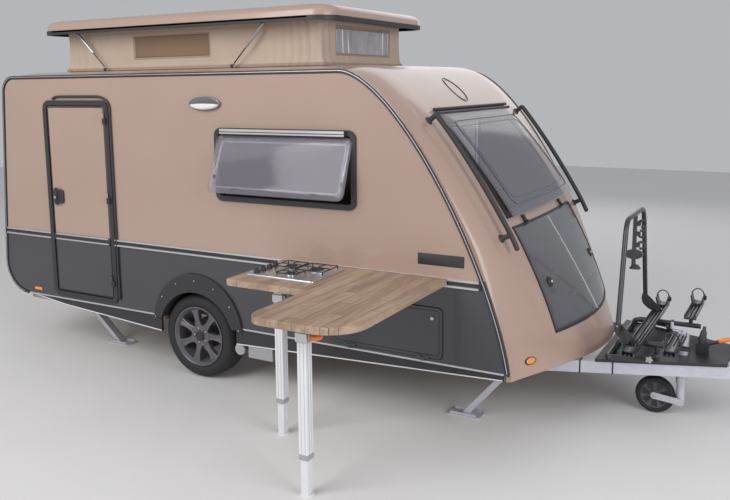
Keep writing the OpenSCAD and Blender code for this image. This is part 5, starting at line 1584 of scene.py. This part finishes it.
def make_cushions():
    """Seat cushions: crowned on top, with sides that pull in between their piped edges."""
    for name, (x0, y0, x1, y1) in CUSHIONS.items():
        body = Lump()
        wide, deep = x1 - x0, y1 - y0

        def pulled(x, y, by):
            u, v = (2 * (x - x0) / wide - 1), (2 * (y - y0) / deep - 1)
            return (x - u * by * (1 - v * v), y - v * by * (1 - u * u))

        rings = []
        for inset, height in CUSHION_FORM:
            loop = dense(inset_box((x0, y0, x1, y1), inset, max(0.045 - inset / 2, 0.012), 5), 0.08)
            if rings and len(loop) != len(rings[0]):
                loop = [spot[:2] for spot in walked(loop, len(rings[0]))[0]]
            rings.append([at(*pulled(x, y, 0.010), SEAT_Z + height) for x, y in loop])
        body.loft(rings)
        for inset, height in ((0.0052, 0.009), (0.0052, 0.094)):
            loop = dense(inset_box((x0, y0, x1, y1), inset, 0.044, 5), 0.08)
            body.tube([at(*pulled(x, y, 0.010), SEAT_Z + height) for x, y in loop], 0.0042, 8, closed=True)
        body.piece("cushion_" + name, "cushion_cloth", stands_for=("cushions",))


def bent(points, cut, count=6):
    """An open path through the points, its corners rounded off from cut before to cut after."""
    points = [Vector(p) for p in points]
    path = [points[0]]
    for a, b, c in zip(points, points[1:], points[2:]):
        first = b + (a - b).normalized() * min(cut, (a - b).length / 2)
        last = b + (c - b).normalized() * min(cut, (c - b).length / 2)
        path += [first.lerp(b, k / count).lerp(b.lerp(last, k / count), k / count) for k in range(count + 1)]
    return path + [points[-1]]


TRAY_X, TRAY_Z, HOLDER_Y = (2.689, 2.900), (0.470, 0.505), 0.540
COVER_TOP = 0.3806
TRAY_SECTION = (
    (-0.034, 0.028), (-0.034, 0.0), (0.034, 0.0), (0.034, 0.028), (0.029, 0.028), (0.028, 0.009),
    (0.018, 0.006), (0.014, 0.015), (0.006, 0.015), (0.002, 0.006), (-0.002, 0.006), (-0.006, 0.015),
    (-0.014, 0.015), (-0.018, 0.006), (-0.028, 0.009), (-0.029, 0.028),
)
TROUGH_HALF = (
    (0.018, 0.021), (0.031, 0.028), (0.036, 0.050), (0.041, 0.072),
    (0.034, 0.075), (0.029, 0.052), (0.025, 0.034), (0.016, 0.028),
)
BASE_RING = (
    (2.775, -0.300), (2.745, -0.385), (2.545, -0.430),
    (2.545, 0.430), (2.745, 0.385), (2.775, 0.300),
)
ARCH_PLATE = (
    (2.584, 0.585), (2.612, 0.585), (2.640, 0.560), (2.700, 0.500), (2.706, 0.478),
    (2.664, 0.474), (2.622, 0.492), (2.590, 0.520), (2.580, 0.552),
)


def make_carrier():
    """Cycle carrier: base tubes, ribbed trays, wheel holders with their straps, and the folding arch."""
    tubes = Lump()
    ring = bent([at(x, y, COVER_TOP + 0.0165) for x, y in BASE_RING], 0.03)
    tubes.tube(ring, 0.016, 14)
    for side in (-1, 1):
        y = side * 0.250
        path = [at(2.562, y, COVER_TOP + 0.020), at(2.575, y, 0.453), at(2.958, y, 0.453)]
        tubes.tube(bent(path, 0.05), 0.0150, 14)
        tubes.tube([at(2.786, y, COVER_TOP + 0.016), at(2.786, y, 0.450)], 0.0130, 14)
        tubes.tube([at(TRAY_X[1], y, 0.460), at(TRAY_X[1], y, TRAY_Z[1] + 0.002)], 0.0120, 14)
        # The curved plates that carry the arch
        low, high = sorted((side * 0.388, side * 0.396))
        tubes.slab(ARCH_PLATE, lambda u, v, y=low: at(u, y, v), lambda u, v, y=high: at(u, y, v))
        pivot = at(2.598, side * 0.392, 0.558)
        tubes.lathe([(0, 0), (0.006, 0), (0.006, 0.052), (0, 0.052)], pivot, (0, side, 0), 16)
    tubes.piece("carrier_base_tubes", "black_steel", stands_for=("carrier_base",), angle=35)
    trays = Lump()
    for tray, y0, y1 in ((0, -0.613, 0.613), (1, -0.613, -0.186), (1, 0.186, 0.613)):
        x, z = TRAY_X[tray], TRAY_Z[tray]
        trays.loft([[at(x + u, y, z + v) for u, v in TRAY_SECTION] for y in (y0, y1)])
    trays.piece("carrier_trays", "black_steel", smooth=False)
    holders, straps = Lump(), Lump()
    trough = TROUGH_HALF + tuple((-u, v) for u, v in reversed(TROUGH_HALF))
    for x, z in zip(TRAY_X, TRAY_Z):
        for side in (-1, 1):
            ys = (-0.045, -0.040, -0.030, -0.026, -0.004, 0.0, 0.004, 0.026, 0.030, 0.040, 0.045)
            outs = (0.97, 1.0, 1.0, 0.95, 0.95, 1.0, 0.95, 0.95, 1.0, 1.0, 0.97)
            y = side * HOLDER_Y
            rows = [[at(x + u * k, y + dy, z + v) for u, v in trough] for dy, k in zip(ys, outs)]
            holders.loft(rows)
            hoop = [(x + 0.037 * math.cos(a), z + 0.070 + 0.046 * math.sin(a)) for a in steps(0, math.pi, 16)]
            straps.tube([at(u, y, v) for u, v in hoop], 0.0036, 8)
            straps.box(at(x + 0.036, y - 0.013, z + 0.044), at(x + 0.052, y + 0.013, z + 0.074), 0.004)
    holders.piece("carrier_holders", "black_steel")
    straps.piece("carrier_straps", "trim", slot="black_steel")
    knob = Lump()
    for place in ((2.772, -0.402, 0.412), (2.772, 0.402, 0.412)):
        out = math.copysign(1, place[1])
        knob.lathe([(0, 0), (0.010, 0), (0.010, 0.012), (0, 0.012)], at(*place), (0, out, 0), 16)
        for a in turns(5):
            lobe = at(*place) + Vector((0.013 * math.cos(a), out * 0.014, 0.013 * math.sin(a)))
            knob.lathe([(0, -0.005), (0.0068, -0.004), (0.0068, 0.004), (0, 0.005)], lobe, (0, 1, 0), 12)
    knob.piece("carrier_knobs", "rail")
    arch = Lump()
    hoop = ((2.598, -0.428, 0.552), (2.590, -0.262, 1.168), (2.590, 0.262, 1.168), (2.598, 0.428, 0.552))
    arch.tube(bent([at(*spot) for spot in hoop], 0.085, 10), 0.0145, 16)
    for side in (-1, 1):
        arch.box(at(2.588, side * 0.428 - 0.0125, 0.538), at(2.609, side * 0.428 + 0.0125, 0.600), 0.004)
    arch.box(at(2.579, -0.013, 0.850), at(2.601, 0.013, 1.160), 0.003)
    oval = [(2.590 + 0.052 * math.cos(a), 0.920 + 0.029 * math.sin(a)) for a in turns(28)]
    arch.slab(oval, lambda u, v: at(u, -0.0155, v), lambda u, v: at(u, 0.0155, v))
    cup = [(0, 0), (0.034, 0), (0.026, 0.014), (0.012, 0.026), (0, 0.026)]
    arch.lathe(cup, at(2.600, 0, 0.832), (0, 0, 1), 20)
    for z, turn in ((1.107, 0.5), (1.047, -0.2), (0.977, 0.3)):
        bend = [a + turn for a in steps(-2.3, 2.3, 12)]
        hook = [at(2.606 + 0.022 + 0.020 * math.cos(a), 0.0, z + 0.020 * math.sin(a)) for a in bend]
        arch.tube(hook, 0.0075, 10)
        arch.box(at(2.600, -0.014, z - 0.013), at(2.622, 0.014, z + 0.013), 0.003)
    arch.piece("carrier_arch_tube", "black_steel", "carrier_arch", stands_for=("carrier_frame",), angle=35)
    bolts = Lump()
    for side in (-1, 1):
        for z in (0.558, 0.588):
            head = [(0, 0), (0.0045, 0), (0.0045, 0.002), (0, 0.003)]
            bolts.lathe(head, at(2.598, side * 0.4405, z), (0, side, 0), 10)
    bolts.piece("carrier_arch_bolts", "rail", "carrier_arch")


def make_drawbar():
    """The jockey wheel, the handbrake's grip, the parked plug, the cable ties and the brake drums."""
    x, y, z, half = 2.769, -0.117, 0.111, 0.028
    tyre = Lump()
    wall = [(0.080, 0.004), (0.090, 0.0), (0.100, 0.001), (0.108, 0.008), (0.1108, 0.018)]
    wall = [(r, -half + h) for r, h in wall]
    tyre.lathe(wall + [(r, -h) for r, h in reversed(wall)], at(x, y, z), (0, 1, 0), 44)
    tyre.piece("jockey_tyre", "tyre_rubber", "jockey_roller", stands_for=("jockey_wheel",))
    disc = Lump()
    web = [(0.0085, -0.027), (0.026, -0.027), (0.030, -0.018), (0.066, -0.014), (0.0795, -0.021)]
    disc.lathe(web + [(r, -h) for r, h in reversed(web)], at(x, y, z), (0, 1, 0), 42)
    disc.piece("jockey_disc", "grey_plastic", "jockey_roller", slot="trim")
    pocket = Lump()
    outline = [(0.034, -0.008), (0.072, -0.018), (0.072, 0.018), (0.034, 0.008)]
    pocket.slab(outline, lambda u, v: Vector((u, v, -0.0200)), lambda u, v: Vector((u, v, 0.0200)))
    sizes = {"Count": 7, "Radius": 0.0, "First": 0.22, "Turn": 2 * math.pi / 7}
    seat = Matrix.Translation(at(x, y, z)) @ Matrix.Rotation(math.radians(90), 4, "X")
    repeated("jockey_pockets", ROUND, pocket, sizes, "trim", seat, "jockey_roller")
    fork = Lump()
    for side in (-1, 1):
        nut = [(0, 0), (0.0115, 0), (0.0115, 0.004), (0.0075, 0.0055), (0, 0.0055)]
        fork.lathe(nut, at(x, y + side * 0.0381, z), (0, side, 0), 6)
    fork.piece("jockey_nuts", "steel", "jockey_swivel")
    grip = Lump()
    low, high = at(3.005, -0.060, 0.4306), at(3.145, -0.060, 0.4886)
    shares = (0.60, 0.62, 0.70, 0.78, 0.86, 0.94, 0.985, 1.0)
    radii = (0.0112, 0.0128, 0.0122, 0.0130, 0.0122, 0.0130, 0.0118, 0.0095)
    grip.tube([low.lerp(high, k) for k in shares], radii, 16)
    grip.piece("handbrake_grip", "orange", slot="trim")
    plug = Lump()
    form = (
        (0, 0), (0.021, 0), (0.023, 0.006), (0.023, 0.030), (0.0185, 0.046),
        (0.0175, 0.066), (0.0105, 0.078), (0.0085, 0.100), (0, 0.100),
    )
    plug.lathe(form, at(3.000, -0.060, 0.4431), (0.10, 0, 1), 24)
    plug.piece("parked_plug", "plug_rubber", slot="trim")
    ties = Lump()
    for tie_x in (2.405, 2.575):
        beam = 0.600 - (tie_x - 2.048) * 0.3802
        ties.box(at(tie_x - 0.0035, -beam - 0.0042, 0.2902), at(tie_x + 0.0035, -beam + 0.0505, 0.3640))
    ties.piece("drawbar_ties", "trim")
    drums = Lump()
    for side in (-1, 1):
        form = [(0, 0), (0.1085, 0), (0.1130, -0.005), (0.1130, -0.084), (0, -0.084)]
        drums.lathe(form, at(0, side * 0.8484, 0.287), (0, side, 0), 48)
    drums.piece("brake_drums", "drum", slot="galvanised")


make_front()
make_front_pane()
make_locker()
make_roof()
make_lid()
make_tent()
make_edges()
make_belt()
make_side_panes()
make_side_fittings()
make_rear_lamps()
make_wheel(-1, "right")
make_wheel(1, "left")
make_table()
make_hob()
make_rails()
make_front_marks()
make_struts()
make_cushions()
make_carrier()
make_drawbar()
